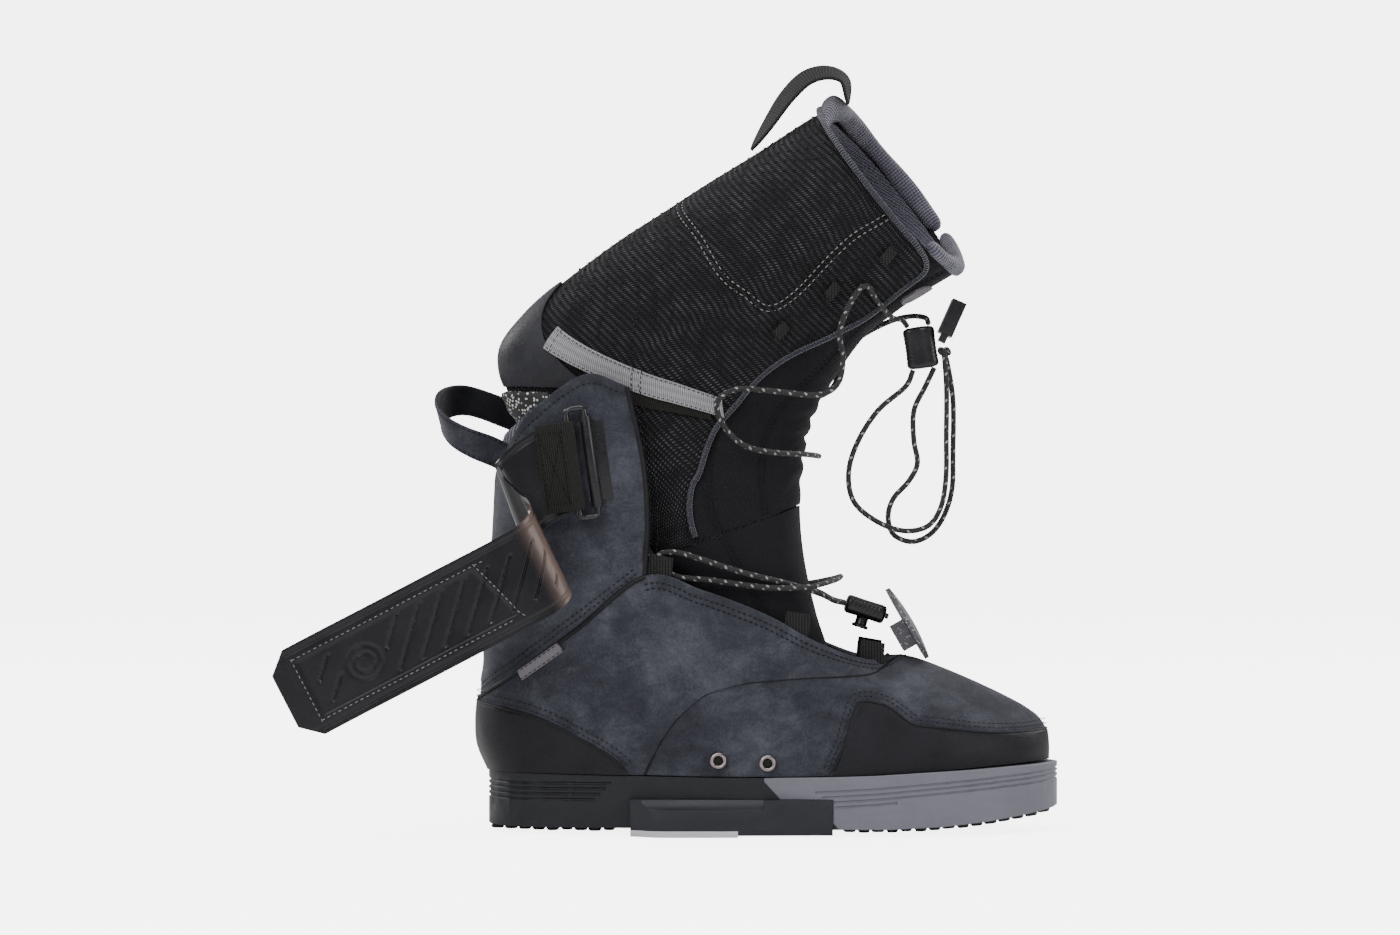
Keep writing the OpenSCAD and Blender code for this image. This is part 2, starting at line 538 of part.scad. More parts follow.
// th is the angle round a ring from its sole or back point, kk the place along the rings
function liner(th, kk) =
    let (b = curve([for (r = rings) r[0]], kk), f = curve([for (r = rings) r[1]], kk),
         w = curve([for (r = rings) [r[2], 0]], kk)[0] * ky,
         e = mix(0.8, 0.92, smooth((kk - 6) / 3)), c = power(cos(th), e), s = power(sin(th), e))
    [(b.x + f.x) / 2 - (f.x - b.x) / 2 * c, w * s, (b.y + f.y) / 2 - (f.y - b.y) / 2 * c + collar_slant / 2 * s * smooth((kk - 12) / 4)];
// The surface in steps of 10 degrees, so that both directions have like step sizes
liner_skin = function(q, kk) liner(q * 10, kk);
tongue_from = function(kk) mix(11.4, 12.4, smooth((kk - 8) / 3));
forefoot_end = 5;
module liner_forefoot() {
    // Toe sock: a wall round the foot, closed at the toe
    n = 24;
    rows = [for (i = [0:8]) mix(0, forefoot_end - 0.02, i / 8)];
    pts = function(d) [for (kk = rows, j = [0:n - 1]) let (q = 36 * j / n) liner_skin(q, kk) + normal_at(liner_skin, q, max(kk, 0.05)) * d];
    o = len(rows) * n;
    m = len(rows) - 1;
    color("#1b1b20") on_liner() polyhedron(concat(pts(0), [for (i = [0:m]) each [for (j = [0:n - 1]) pts(-liner_t)[i * n + j] - (i == 0 ? [liner_t, 0, 0] : [0, 0, 0])]]),
        concat(
            [for (i = [0:m - 1], j = [0:n - 1]) let (j2 = (j + 1) % n) each
                [[i * n + j, i * n + j2, (i + 1) * n + j2], [i * n + j, (i + 1) * n + j2, (i + 1) * n + j],
                 [o + i * n + j, o + (i + 1) * n + j2, o + i * n + j2], [o + i * n + j, o + (i + 1) * n + j, o + (i + 1) * n + j2]]],
            [for (j = [0:n - 1]) let (j2 = (j + 1) % n) each
                [[m * n + j, m * n + j2, o + m * n + j2], [m * n + j, o + m * n + j2, o + m * n + j]]],
            [[for (j = [n - 1:-1:0]) j]], [[for (j = [0:n - 1]) o + j]]));
}
module liner_wall(q0, q1, nq, k0, k1, nk, d_out, d_in) {
    // Like skin(), with the ring position running first so that q's limits can follow it
    across = function(kk, f) mix(q0(kk), q1(kk), f);
    turned = function(f, kk) liner_skin(across(kk, f), kk);
    at = [for (i = [0:nq], j = [0:nk]) [i / nq, mix(k0, k1, j / nk)]];
    base = [for (p = at) turned(p[0], p[1])];
    out = [for (p = at) normal_at(liner_skin, across(p[1], p[0]), p[1])];
    polyhedron(concat([for (i = [0:len(at) - 1]) base[i] + out[i] * d_out], [for (i = [0:len(at) - 1]) base[i] + out[i] * d_in]),
        grid_faces(nq, nk));
}
module liner_body() {
    color("#2c2c30") on_liner() liner_wall(function(kk) -tongue_from(kk), tongue_from, 24, forefoot_end + 0.02, top_n, 22, 0, -liner_t);
}
module liner_tongue() {
    color("#1c1c22") on_liner() liner_wall(function(kk) tongue_from(kk) + 0.12, function(kk) 36 - tongue_from(kk) - 0.12, 10,
        forefoot_end + 0.02, top_n + 0.25, 20, 0, -liner_t);
}
heel_panel_q = function(kk) mix(6.6, 1, (kk - 8.3) / 2.6);
module liner_heel_panel() {
    color("#1f1f22") on_liner() liner_wall(function(kk) -heel_panel_q(kk), heel_panel_q, 10, 8.3, 10.9, 6, rand_gap + 1, rand_gap);
}
module liner_outsole() {
    color("#555459") on_liner() liner_wall(always(-4.6), always(4.6), 10, 1.2, 8.2, 12, gap + walk_sole_t, gap);
}
module liner_collar() {
    // Rolled fleece along the rim, over the body and not over the tongue
    rim = function(q, kk) liner_skin(q, top_n - 0.03) + [0, 0, (kk - top_n) * 10];
    q1 = tongue_from(top_n) - 0.1;
    color("#77788f") on_liner() skin(rim, -q1, q1, 24, always(top_n + 0.1), always(top_n + 1), 2, 1, -liner_t - 1.5);
}
band_q0 = 4.4;
band_q1 = 10.9;
module liner_band() {
    mid = function(q) mix(9.5, 7.9, (q - band_q0) / (band_q1 - band_q0));
    color("#a9a6ab") on_liner() for (side = [-1, 1])
        skin(liner_skin, side > 0 ? band_q0 : -band_q1, side > 0 ? band_q1 : -band_q0, 12,
            function(q) mid(abs(q)) - 0.3, function(q) mid(abs(q)) + 0.3, 2, gap + 2.6, gap + 1.2);
}
liner_loop = [
    [[-15.5, 0, 190], [0, 1, 0]], [[-21, 0, 206], [0, 1, 0]], [[-26.5, 0, 223], [0, 1, 0]], [[-28, 0, 238], [0, 1, 0]],
    [[-23, 0, 249], [0, 1, 0]], [[-14, 0, 253.5], [0, 1, 0]], [[-3, 0, 247], [0, 1, 0]]
];
module liner_pull_loop() {
    color("#17171a") on_liner() band([for (s = liner_loop) [[s[0].x * k, 0, s[0].z * k + leg_raise], s[1]]], 20, 1, -1, 18);
}
liner_guide_k = [10.6, 12.4, 14.6];
module liner_lace_guides() {
    color("#17171a") on_liner() for (side = [-1, 1], kk = liner_guide_k) {
        p = liner(side * (tongue_from(kk) * 10 - 7), kk);
        n = normal_at(liner_skin, side * (tongue_from(kk) - 0.7), kk);
        translate(p + n * 4) rotate([0, -30, atan2(n.y, n.x)]) cube([2.4, 6, 10], center = true);
    }
}
upper_route = [
    [98, -10, 276.2], [95, -14, 279.5], [89, -19, 281], [81, -33, 289], [74, -43, 297], [66, -46, 288], [60, -46, 272], [62, -42, 258],
    [59, -43, 244], [48, -46, 238], [24, -48, 240], [4, -48, 241], [-6, -48, 234], [-3, -46.5, 222], [8, -44.5, 211],
    [24, -39, 207], [43, -23, 206], [50, 0, 205], [43, 23, 206], [24, 39, 207], [8, 44.5, 211], [-3, 46.5, 222],
    [-6, 48, 234], [4, 48, 241], [24, 48, 240], [48, 46, 238], [59, 43, 244], [64, 41, 258], [72, 34, 270],
    [88, 18, 279], [100, 4, 282], [108, -6, 281], [109.7, -10, 277.8]
];
module upper_lace() { color("#141416") cord(upper_route, lace_d, 76); }
upper_lock_at = [105.5 * k, -10, 264.5 * k];
upper_lock_lean = 82;
// The cords run down through it and the button faces the inner side
module on_upper_lock() { translate(upper_lock_at) rotate([0, upper_lock_lean, 0]) rotate([-90, 0, 0]) children(); }
module upper_lock_body() { color("#1a1a1e") on_upper_lock() lock_body(); }
module upper_lock_button() { color("#2a2a30") on_upper_lock() lock_button(); }
module upper_lock_spring() { color("silver") on_upper_lock() lock_spring(); }
bar_at = [122.5 * k, -10, 280.5 * k];
bar_lean = 24;
module upper_pull_handle() {
    // Flat bar in a bright frame, with the eye that the cords are knotted to
    color("#18181c") translate(bar_at) rotate([0, bar_lean, 0]) difference() {
        union() {
            cube([8, 20, 20], center = true);
            translate([0, 0, -12]) cube([4, 12, 4.5], center = true);
        }
        translate([0, 0, -12]) rotate([0, 90, 0]) cylinder(d = 2, h = 12, center = true, $fn = 24);
    }
}
// Both free cord loops hang from the upper lock and come back up to the handle
outer_route = [
    [101.3, -10, 252], [97, -11, 243], [82, -12, 230], [71, -12, 213], [66, -10, 196], [69, -8, 180], [82, -7, 169],
    [97, -6, 164], [110, -6, 167], [117, -7, 178], [119.5, -8, 195], [119.5, -10, 215], [119.5, -13, 240], [118.5, -14, 256], [117.5, -14, 264.5]
];
inner_route = [
    [112.9, -10, 253.4], [108, -8, 243], [102, -5, 230], [102, -3, 214], [104, -3, 201], [99, -3, 191], [91, -2, 182],
    [88, -1, 172], [91, 0, 162], [101, 0, 158], [111, -1, 162], [118.5, -2, 172], [123, -3, 187], [123.5, -4, 207],
    [123.5, -5, 235], [120.5, -6, 255], [118, -6, 264.5]
];
module upper_cord_loop_outer() { color("#141416") cord(outer_route, lace_d, 40); }
module upper_cord_loop_inner() { color("#141416") cord(inner_route, lace_d, 40); }

outsole_rear();
outsole_front();
chassis();
chassis_base_pad();
chassis_screws();
insole_board();
quarter_near();
quarter_far();
vamp();
toe_cap();
heel_counter();
cuff_near();
cuff_far();
collar_lining();
drain_eyelets();
side_label();
heel_pull_loop();
ring_sleeve();
lower_lace_guides();
lower_lace();
lower_lock_body();
lower_lock_spring();
lower_lock_button();
lower_pull_handle();
lower_handle_cord();
strap_ring();
strap_webbing();
strap_cover();
strap_backing();
liner_forefoot();
liner_body();
liner_tongue();
liner_heel_panel();
liner_outsole();
liner_collar();
liner_band();
liner_pull_loop();
liner_lace_guides();
upper_lace();
upper_lock_body();
upper_lock_spring();
upper_lock_button();
upper_pull_handle();
upper_cord_loop_outer();
upper_cord_loop_inner();
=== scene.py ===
import math
import random

import bmesh
import bpy
import numpy as np
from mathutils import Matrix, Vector, kdtree


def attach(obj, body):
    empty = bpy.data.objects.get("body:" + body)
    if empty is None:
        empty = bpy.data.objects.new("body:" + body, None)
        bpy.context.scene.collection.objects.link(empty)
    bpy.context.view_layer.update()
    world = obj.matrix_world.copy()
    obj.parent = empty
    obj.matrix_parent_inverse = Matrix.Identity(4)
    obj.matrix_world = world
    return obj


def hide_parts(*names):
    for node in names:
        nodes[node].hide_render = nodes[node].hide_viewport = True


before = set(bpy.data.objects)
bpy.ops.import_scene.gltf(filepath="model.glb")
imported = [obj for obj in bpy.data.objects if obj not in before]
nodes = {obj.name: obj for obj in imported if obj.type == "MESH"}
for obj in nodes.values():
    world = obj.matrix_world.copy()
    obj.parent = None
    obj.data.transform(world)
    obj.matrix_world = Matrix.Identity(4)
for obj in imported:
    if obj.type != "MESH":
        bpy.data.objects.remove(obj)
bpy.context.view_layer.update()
mm = 0.001


def blend4(a, b, c, d, f):
    return 0.5 * (2 * b + (c - a) * f + (2 * a - 5 * b + 4 * c - d) * f * f
                  + (3 * b - a - 3 * c + d) * f * f * f)


def smooth(f):
    g = np.clip(f, 0, 1)
    return g * g * (3 - 2 * g)


def mix(a, b, f):
    return a + (b - a) * f


def onCurve(points, t):
    # smooth curve through points at t = 0 .. n-1, one row per value of t
    p = np.asarray(points, float)
    n = len(p)
    ext = np.vstack([2 * p[0] - p[1], p, 2 * p[-1] - p[-2]])
    t = np.atleast_1d(np.asarray(t, float))
    i = np.clip(np.floor(t).astype(int), 0, n - 2)
    f = (t - i)[:, None]
    return blend4(ext[i], ext[i + 1], ext[i + 2], ext[i + 3], f)


def unit(v):
    return v / np.maximum(np.linalg.norm(v, axis=-1, keepdims=True), 1e-12)


def runOf(points):
    # distance covered at every point of a path
    return np.concatenate([[0], np.cumsum(np.linalg.norm(np.diff(points, axis=0), axis=1))])


def squarish(value, e):
    # a sine or cosine pushed outwards, so that the ellipse it draws gets squarer
    return np.sign(value) * np.abs(value) ** e


lowerColumns = np.array([
    [[-131, 0, 34], [-136.5, 0, 47], [-137.5, 0, 60], [-136.5, 0, 73]],
    [[-125, 21, 34], [-130, 23, 48], [-131, 24, 62], [-130, 25, 78]],
    [[-110, 35, 33.8], [-114, 37.5, 52], [-114.5, 39, 70], [-112, 40, 90]],
    [[-85, 41, 33.4], [-86, 44.5, 58], [-85, 46.5, 84], [-82, 48, 112]],
    [[-45, 45, 32.6], [-45, 48.5, 68], [-45, 50.5, 104], [-45, 50.5, 141]],
    [[-14, 48, 32], [-14, 51, 66], [-14, 52, 100], [-14, 50, 133]],
    [[20, 51, 32], [20, 53.5, 60], [20, 53, 90], [20, 48.5, 120]],
    [[50, 54, 32.6], [50, 56, 55], [50, 53, 82], [48, 44, 105]],
    [[80, 54.5, 33.6], [80, 55.5, 50], [80, 49, 75], [76, 28, 95]],
    [[105, 51.5, 35], [105, 52, 48], [104, 43, 72], [96, 0, 96]],
    [[128, 45.5, 36.4], [128, 45.5, 48], [126, 36, 66], [119, 0, 88]],
    [[150, 34, 37.8], [150, 34, 48], [148, 27, 60], [142, 0, 78]],
    [[167, 19, 38.8], [167, 19, 48], [165, 15, 57], [160, 0, 69]],
    [[175, 0, 39.3], [175, 0, 48], [173.5, 0, 57], [169, 0, 63]],
]) * mm
toeStation = 13
mirrorY = np.array([1, -1, 1.0])


def lowerColumn(i, v):
    # point on column i at each v, the far side's column mirrored past the ridge
    i = np.asarray(i)
    c = lowerColumns[i]
    j = np.clip(np.floor(v).astype(int), 0, 2)
    rows = np.arange(len(v))
    before = np.where((j > 0)[:, None], c[rows, np.maximum(j - 1, 0)], 2 * c[:, 0] - c[:, 1])
    closed = np.where((i >= 9)[:, None], c[:, 2] * mirrorY, 2 * c[:, 3] - c[:, 2])
    after = np.where((j < 2)[:, None], c[rows, np.minimum(j + 2, 3)], closed)
    return blend4(before, c[rows, j], c[rows, j + 1], after, (v - j)[:, None])


def lowerSurface(a, v):
    # a 0 heel .. 13 toe on the far side, negative on the near side; v 0 sole .. 3 top or ridge
    a, v = np.broadcast_arrays(np.atleast_1d(np.asarray(a, float)), np.atleast_1d(np.asarray(v, float)))
    a, v = a.copy(), v.copy()
    sign = np.ones(len(a))
    over = a > toeStation
    a[over] = 2 * toeStation - a[over]
    sign[over] *= -1
    near = a < 0
    a[near] *= -1
    sign[near] *= -1
    past = v > 3
    v[past] = 6 - v[past]
    sign[past] *= -1
    i = np.clip(np.floor(a).astype(int), 0, toeStation - 1)
    before = np.where((i > 0)[:, None], lowerColumn(np.maximum(i - 1, 0), v),
                      lowerColumn(np.full(len(a), 1), v) * mirrorY)
    after = np.where((i < toeStation - 1)[:, None], lowerColumn(np.minimum(i + 2, toeStation), v),
                     lowerColumn(np.full(len(a), toeStation - 1), v) * mirrorY)
    p = blend4(before, lowerColumn(i, v), lowerColumn(i + 1, v), after, (a - i)[:, None])
    p[:, 1] = np.maximum(p[:, 1], 0) * sign
    return p


cuffColumns = np.array([
    [[-136.5, 0, 73], [-132, 0, 115], [-129, 0, 160], [-127, 0, 202]],
    [[-130, 25, 78], [-126, 27, 122], [-124, 29, 168], [-119.5, 29, 212]],
    [[-112, 40, 90], [-109, 43, 136], [-108, 45, 182], [-107, 44, 229]],
    [[-82, 48, 112], [-81, 50.5, 158], [-80, 51.5, 204], [-78, 51, 249]],
    [[-45, 50.5, 141], [-43.5, 51.5, 170], [-46, 51.5, 203], [-55, 51, 243]],
]) * mm


def cuffSurface(a, v):
    # a 0 back .. 4 front edge on the far side, negative on the near side; v 0 ankle seam .. 3 collar
    a, v = np.broadcast_arrays(np.atleast_1d(np.asarray(a, float)), np.atleast_1d(np.asarray(v, float)))
    sign = np.where(a < 0, -1.0, 1.0)
    a = np.abs(a)
    columns = np.stack([onCurve(c, v) for c in cuffColumns])
    n = len(a)
    i = np.clip(np.floor(a).astype(int), 0, 3)
    rows = np.arange(n)
    before = np.where((i > 0)[:, None], columns[np.maximum(i - 1, 0), rows], columns[1, rows] * mirrorY)
    after = np.where((i < 3)[:, None], columns[np.minimum(i + 2, 4), rows],
                     2 * columns[4, rows] - columns[3, rows])
    p = blend4(before, columns[i, rows], columns[i + 1, rows], after, (a - i)[:, None])
    p[:, 1] *= sign
    return p


collarLift = 0.016


def liningSurface(a, v):
    p = cuffSurface(a, v)
    p[:, 2] += collarLift * smooth(v - 2) * (1 - smooth(np.abs(a) / 3))
    return p


linerRings = np.array([[265, 13, 265, 21, 11], [253, 3, 256, 39, 27], [229, 0.5, 234, 52, 35],
                       [199, 0, 207, 62, 38.5], [165, 0, 180, 75, 38.5], [125, 0, 155, 91, 37],
                       [85, 0, 138, 106, 36], [45, 0, 127, 118, 35.5], [12, 1, 119, 131, 35.5],
                       [-12, 12, 113, 146, 37], [-20, 35, 108, 161, 39], [-22, 65, 104, 178, 42],
                       [-21, 98, 104, 192, 45], [-17.5, 138, 104.5, 205, 47.5], [-13.5, 178, 105.5, 218, 49],
                       [-10.5, 208, 106.5, 226, 49.5], [-8.5, 233, 107.5, 234, 49.5],]) * mm
wholeRing = 36
linerHeel = np.array([-127, 0, 244.5]) * mm
linerLean = math.radians(52)
leanCos, leanSin = math.cos(linerLean), math.sin(linerLean)


def toWorld(p):
    # from the liner's own frame, flat on its sole, to its place leaning out of the boot
    return np.stack([linerHeel[0] + p[:, 0] * leanCos + p[:, 2] * leanSin, p[:, 1],
                     linerHeel[2] - p[:, 0] * leanSin + p[:, 2] * leanCos], 1)


def linerLocal(q, kk):
    # q goes round a ring in steps of 10 degrees from its sole or back point; kk runs toe 0 .. collar 16
    q, kk = np.broadcast_arrays(np.atleast_1d(np.asarray(q, float)), np.atleast_1d(np.asarray(kk, float)))
    r = onCurve(linerRings, kk)
    e = mix(0.8, 0.92, smooth((kk - 6) / 3))
    th = np.radians(q * 10)
    c, s = squarish(np.cos(th), e), squarish(np.sin(th), e)
    return np.stack([(r[:, 0] + r[:, 2]) / 2 - (r[:, 2] - r[:, 0]) / 2 * c, r[:, 4] * s,
                     (r[:, 1] + r[:, 3]) / 2 - (r[:, 3] - r[:, 1]) / 2 * c
                     + 0.009 * s * smooth((kk - 12) / 4)], 1)


def linerSurface(q, kk):
    return toWorld(linerLocal(q, kk))


def tongueFrom(kk):
    return mix(11.4, 12.4, smooth((kk - 8) / 3))


def normalsOf(surface, a, v):
    e = 0.02
    return unit(np.cross(surface(a, v + e) - surface(a, v - e), surface(a + e, v) - surface(a - e, v)))


# mesh helpers: every piece is made in place, its object at the origin
def addObject(name, data):
    obj = bpy.data.objects.new(name, data)
    bpy.context.collection.objects.link(obj)
    return obj


def bake(obj):
    # keeps what the modifiers make as the piece's own mesh
    mesh = bpy.data.meshes.new_from_object(obj.evaluated_get(bpy.context.evaluated_depsgraph_get()))
    obj.modifiers.clear()
    obj.data = mesh
    return obj


def addMesh(name, points, faces, uv=None, merge=0.0, turn=True, crease=50):
    mesh = bpy.data.meshes.new(name)
    faces = [tuple(int(i) for i in f) for f in faces]
    mesh.from_pydata([tuple(p) for p in np.asarray(points, float)], [], faces)
    if uv is not None:
        order = np.zeros(len(mesh.loops), np.int32)
        mesh.loops.foreach_get("vertex_index", order)
        layer = mesh.uv_layers.new(name="cloth")
        layer.data.foreach_set("uv", np.asarray(uv, np.float32)[order].ravel())
    bm = bmesh.new()
    bm.from_mesh(mesh)
    if merge:
        bmesh.ops.remove_doubles(bm, verts=bm.verts, dist=merge)
    if turn:
        bmesh.ops.recalc_face_normals(bm, faces=bm.faces)
    bm.to_mesh(mesh)
    bm.free()
    obj = addObject(name, mesh)
    soften(obj, crease)
    return obj


def soften(obj, crease=50):
    obj.data.shade_smooth()
    obj.data.set_sharp_from_angle(angle=math.radians(crease))


def roundEdges(obj, width, angle=35, segments=2):
    # rounds every edge sharper than the angle
    bm = bmesh.new()
    bm.from_mesh(obj.data)
    sharp = [e for e in bm.edges if len(e.link_faces) == 2 and e.calc_face_angle(0) > math.radians(angle)]
    bmesh.ops.bevel(bm, geom=sharp, offset=width, offset_type="OFFSET", segments=segments, profile=0.6,
                    affect="EDGES", clamp_overlap=True)
    bm.to_mesh(obj.data)
    bm.free()
    soften(obj)
    return obj


def gridFaces(nu, nv, start=0, back=False):
    i, j = np.meshgrid(np.arange(nu - 1), np.arange(nv - 1), indexing="ij")
    a = start + i * nv + j
    quads = np.stack([a, a + nv, a + nv + 1, a + 1], -1).reshape(-1, 4)
    return quads[:, ::-1] if back else quads


def tubeFaces(nu, nv):
    # sides and two ends of a grid whose last column lies on its first
    ends = [tuple(range(nv - 1)), tuple((nu - 1) * nv + j for j in range(nv - 2, -1, -1))]
    return [tuple(f) for f in gridFaces(nu, nv)] + ends


def lengthUv(grid):
    # cloth coordinates in metres: along u at the middle row, along v on each column
    middle = grid[:, grid.shape[1] // 2]
    u = runOf(middle)
    v = np.concatenate([np.zeros((len(grid), 1)),
                        np.cumsum(np.linalg.norm(np.diff(grid, axis=1), axis=2), axis=1)], 1)
    return np.stack([np.repeat(u[:, None], grid.shape[1], 1), v], -1)


def shellFromGrids(name, outer, inner, wrap=False, edge=0.0, crease=50, segments=2):
    # closed solid between two grids of points; wrap leaves out the end walls and joins the ends
    nu, nv = outer.shape[:2]
    o = nu * nv
    points = np.concatenate([outer.reshape(-1, 3), inner.reshape(-1, 3)])
    uv = lengthUv(outer).reshape(-1, 2)
    faces = [gridFaces(nu, nv), gridFaces(nu, nv, o, True)]
    i = np.arange(nu - 1) * nv
    for row in (0, nv - 1):
        faces.append(np.stack([i + row, i + nv + row, o + i + nv + row, o + i + row], -1))
    if not wrap:
        j = np.arange(nv - 1)
        for column in (0, (nu - 1) * nv):
            faces.append(np.stack([column + j, column + j + 1, o + column + j + 1, o + column + j], -1))
    obj = addMesh(name, points, np.concatenate(faces), np.concatenate([uv, uv]), merge=1e-6 if wrap else 0.0,
                  crease=crease)
    return roundEdges(obj, edge, segments=segments) if edge else obj


def framesAlong(points, up=None):
    # tangent, side and normal at every point of a path
    t = unit(np.gradient(points, axis=0))
    start = np.array(up if up is not None else ([0, 1, 0] if abs(t[0, 1]) < 0.9 else [1, 0, 0]), float)
    side = [unit(np.cross(t[0], start))]
    for i in range(1, len(t)):
        side.append(unit(side[-1] - t[i] * (side[-1] @ t[i])))
    side = np.array(side)
    return t, side, np.cross(t, side)


def sweep(name, points, radius, sides=12, closed=False, crease=60, section=None, frame3=None):
    # a tube or ribbon along points; section is a list of (across, out) points in units of radius
    points = np.asarray(points, float)
    n = len(points)
    radius = np.broadcast_to(np.asarray(radius, float), (n,))
    if section is None:
        q = np.linspace(0, 2 * math.pi, sides + 1)
        section = np.stack([np.cos(q), np.sin(q)], 1)
    else:
        section = np.vstack([section, section[:1]])
    t, side, out = frame3 if frame3 is not None else framesAlong(points)
    ring = section[None, :, 0, None] * side[:, None] + section[None, :, 1, None] * out[:, None]
    grid = points[:, None] + radius[:, None, None] * ring
    along = runOf(points)
    around = runOf(section) * radius.mean()
    if closed:
        grid = np.concatenate([grid, grid[:1]])
        along = np.append(along, along[-1] + np.linalg.norm(points[-1] - points[0]))
    nu, nv = grid.shape[:2]
    uv = np.stack(np.meshgrid(along, around, indexing="ij"), -1).reshape(-1, 2)
    faces = gridFaces(nu, nv) if closed else tubeFaces(nu, nv)
    return addMesh(name, grid.reshape(-1, 3), faces, uv, merge=1e-6, crease=crease)


def ribbonSection(width, thick, corner=0.4, steps=3):
    # rounded rectangle, counter-clockwise, in metres
    r = corner * thick
    pts = []
    for cx, cy, q0 in ((1, 1, 0), (-1, 1, 90), (-1, -1, 180), (1, -1, 270)):
        for s in range(steps + 1):
            q = math.radians(q0 + 90 * s / steps)
            pts.append((cx * (width / 2 - r) + r * math.cos(q), cy * (thick / 2 - r) + r * math.sin(q)))
    across = [(x, thick / 2) for x in np.linspace(width / 2 - r, -width / 2 + r, 9)[1:-1]]
    under = [(-x, -thick / 2) for x, _ in across]
    k = steps + 1
    return np.array(pts[:k] + across + pts[k:3 * k] + under + pts[3 * k:])


def resample(points, step=None, count=None):
    points = np.asarray(points, float)
    run = runOf(points)
    count = count or max(2, int(round(run[-1] / step)) + 1)
    s = np.linspace(0, run[-1], count)
    return np.stack([np.interp(s, run, points[:, k]) for k in range(3)], 1)


def smoothLine(points, count):
    # dense smooth curve through a few points
    points = np.asarray(points, float)
    return onCurve(points, np.linspace(0, len(points) - 1, count))


def lineOn(surface, marks, lift, count=80):
    # a smooth line drawn on a surface through (a, v) marks, standing off it by lift
    q = onCurve(np.array(marks, float), np.linspace(0, len(marks) - 1, count))
    return surface(q[:, 0], q[:, 1]) + normalsOf(surface, q[:, 0], q[:, 1]) * lift


def shifted(surface, marks, by, lift, count=80):
    # the same line moved sideways on the surface by a distance
    q = onCurve(np.array(marks, float), np.linspace(0, len(marks) - 1, count))
    p = surface(q[:, 0], q[:, 1])
    n = normalsOf(surface, q[:, 0], q[:, 1])
    return p + unit(np.cross(n, np.gradient(p, axis=0))) * by + n * lift


def nearness(points, lines, width):
    # 1 on the lines, falling to 0 at a distance of width
    dense = np.vstack([resample(line, step=0.0008) for line in lines])
    tree = kdtree.KDTree(len(dense))
    for i, p in enumerate(dense):
        tree.insert(p, i)
    tree.balance()
    d = np.array([tree.find(p)[2] for p in points.reshape(-1, 3)]).reshape(points.shape[:-1])
    return np.exp(-(d / width) ** 2)


def cadCopy(name, node, edge, angle=30, segments=2, flat=1.0):
    # a copy of a CAD solid with its facets joined and its edges rounded
    obj = addObject(name, nodes[node].data.copy())
    bm = bmesh.new()
    bm.from_mesh(obj.data)
    bmesh.ops.remove_doubles(bm, verts=bm.verts, dist=1e-6)
    bmesh.ops.dissolve_limit(bm, angle_limit=math.radians(flat), verts=bm.verts, edges=bm.edges)
    bm.to_mesh(obj.data)
    bm.free()
    obj.data.materials.clear()
    return roundEdges(obj, edge, angle, segments)


def place(obj, body, slot, material, *replaced):
    # finish of a piece, the body it rides on and the CAD nodes it stands for
    obj.data.materials.clear()
    obj.data.materials.append(material)
    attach(obj, body)
    if replaced:
        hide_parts(*replaced)
    return obj


# finishes, all procedural: patterns read object coordinates or the piece's own cloth coordinates
def addNode(tree, kind, inputs=None, **settings):
    n = tree.nodes.new(kind)
    for key, value in settings.items():
        setattr(n, key, value)
    for key, value in (inputs or {}).items():
        if isinstance(value, bpy.types.NodeSocket):
            tree.links.new(value, n.inputs[key])
        else:
            n.inputs[key].default_value = value
    return n


def maths(tree, operation, a, b=0.0, c=0.0):
    return addNode(tree, "ShaderNodeMath", {0: a, 1: b, 2: c}, operation=operation).outputs[0]


def newMaterial(name, rough=0.5, **sockets):
    material = bpy.data.materials.new(name)
    material.use_nodes = True
    tree = material.node_tree
    shader = tree.nodes["Principled BSDF"]
    shader.inputs["Roughness"].default_value = rough
    for key, value in sockets.items():
        shader.inputs[key.replace("_", " ")].default_value = value
    return material, tree, shader


def objectCoords(tree, stretch=(1, 1, 1), turn=(0, 0, 0)):
    coords = addNode(tree, "ShaderNodeTexCoord").outputs["Object"]
    mapped = addNode(tree, "ShaderNodeMapping", {"Vector": coords, "Scale": stretch, "Rotation": turn})
    return mapped.outputs[0]


def clothCoords(tree):
    uv = addNode(tree, "ShaderNodeUVMap", uv_map="cloth").outputs[0]
    split = addNode(tree, "ShaderNodeSeparateXYZ", {0: uv})
    return split.outputs[0], split.outputs[1]


def noise(tree, coords, size, detail=3.0, rough=0.5, twist=0.0):
    n = addNode(tree, "ShaderNodeTexNoise",
                {"Vector": coords, "Scale": 1 / size, "Detail": detail, "Roughness": rough,
                                             "Distortion": twist})
    return n.outputs["Fac"]


def grains(tree, coords, size, feature="F1"):
    n = addNode(tree, "ShaderNodeTexVoronoi", {"Vector": coords, "Scale": 1 / size}, feature=feature)
    return n


def wave(tree, value, pitch, shift=0.0):
    # 0 to 1 and back once every pitch
    phase = maths(tree, "MULTIPLY_ADD", value, 2 * math.pi / pitch, shift)
    return maths(tree, "MULTIPLY_ADD", maths(tree, "SINE", phase), 0.5, 0.5)


def ramp(tree, fac, stops):
    n = addNode(tree, "ShaderNodeValToRGB", {0: fac})
    elements = n.color_ramp.elements
    while len(elements) < len(stops):
        elements.new(0.5)
    for element, (at, colour) in zip(elements, stops):
        element.position = at
        element.color = (*colour, 1) if len(colour) == 3 else colour
    return n.outputs[0]


def level(tree, fac, low, high, start=0.0, end=1.0):
    # a value kept between low and high as fac runs from start to end
    return addNode(tree, "ShaderNodeMapRange", {0: fac, 1: start, 2: end, 3: low, 4: high}).outputs[0]


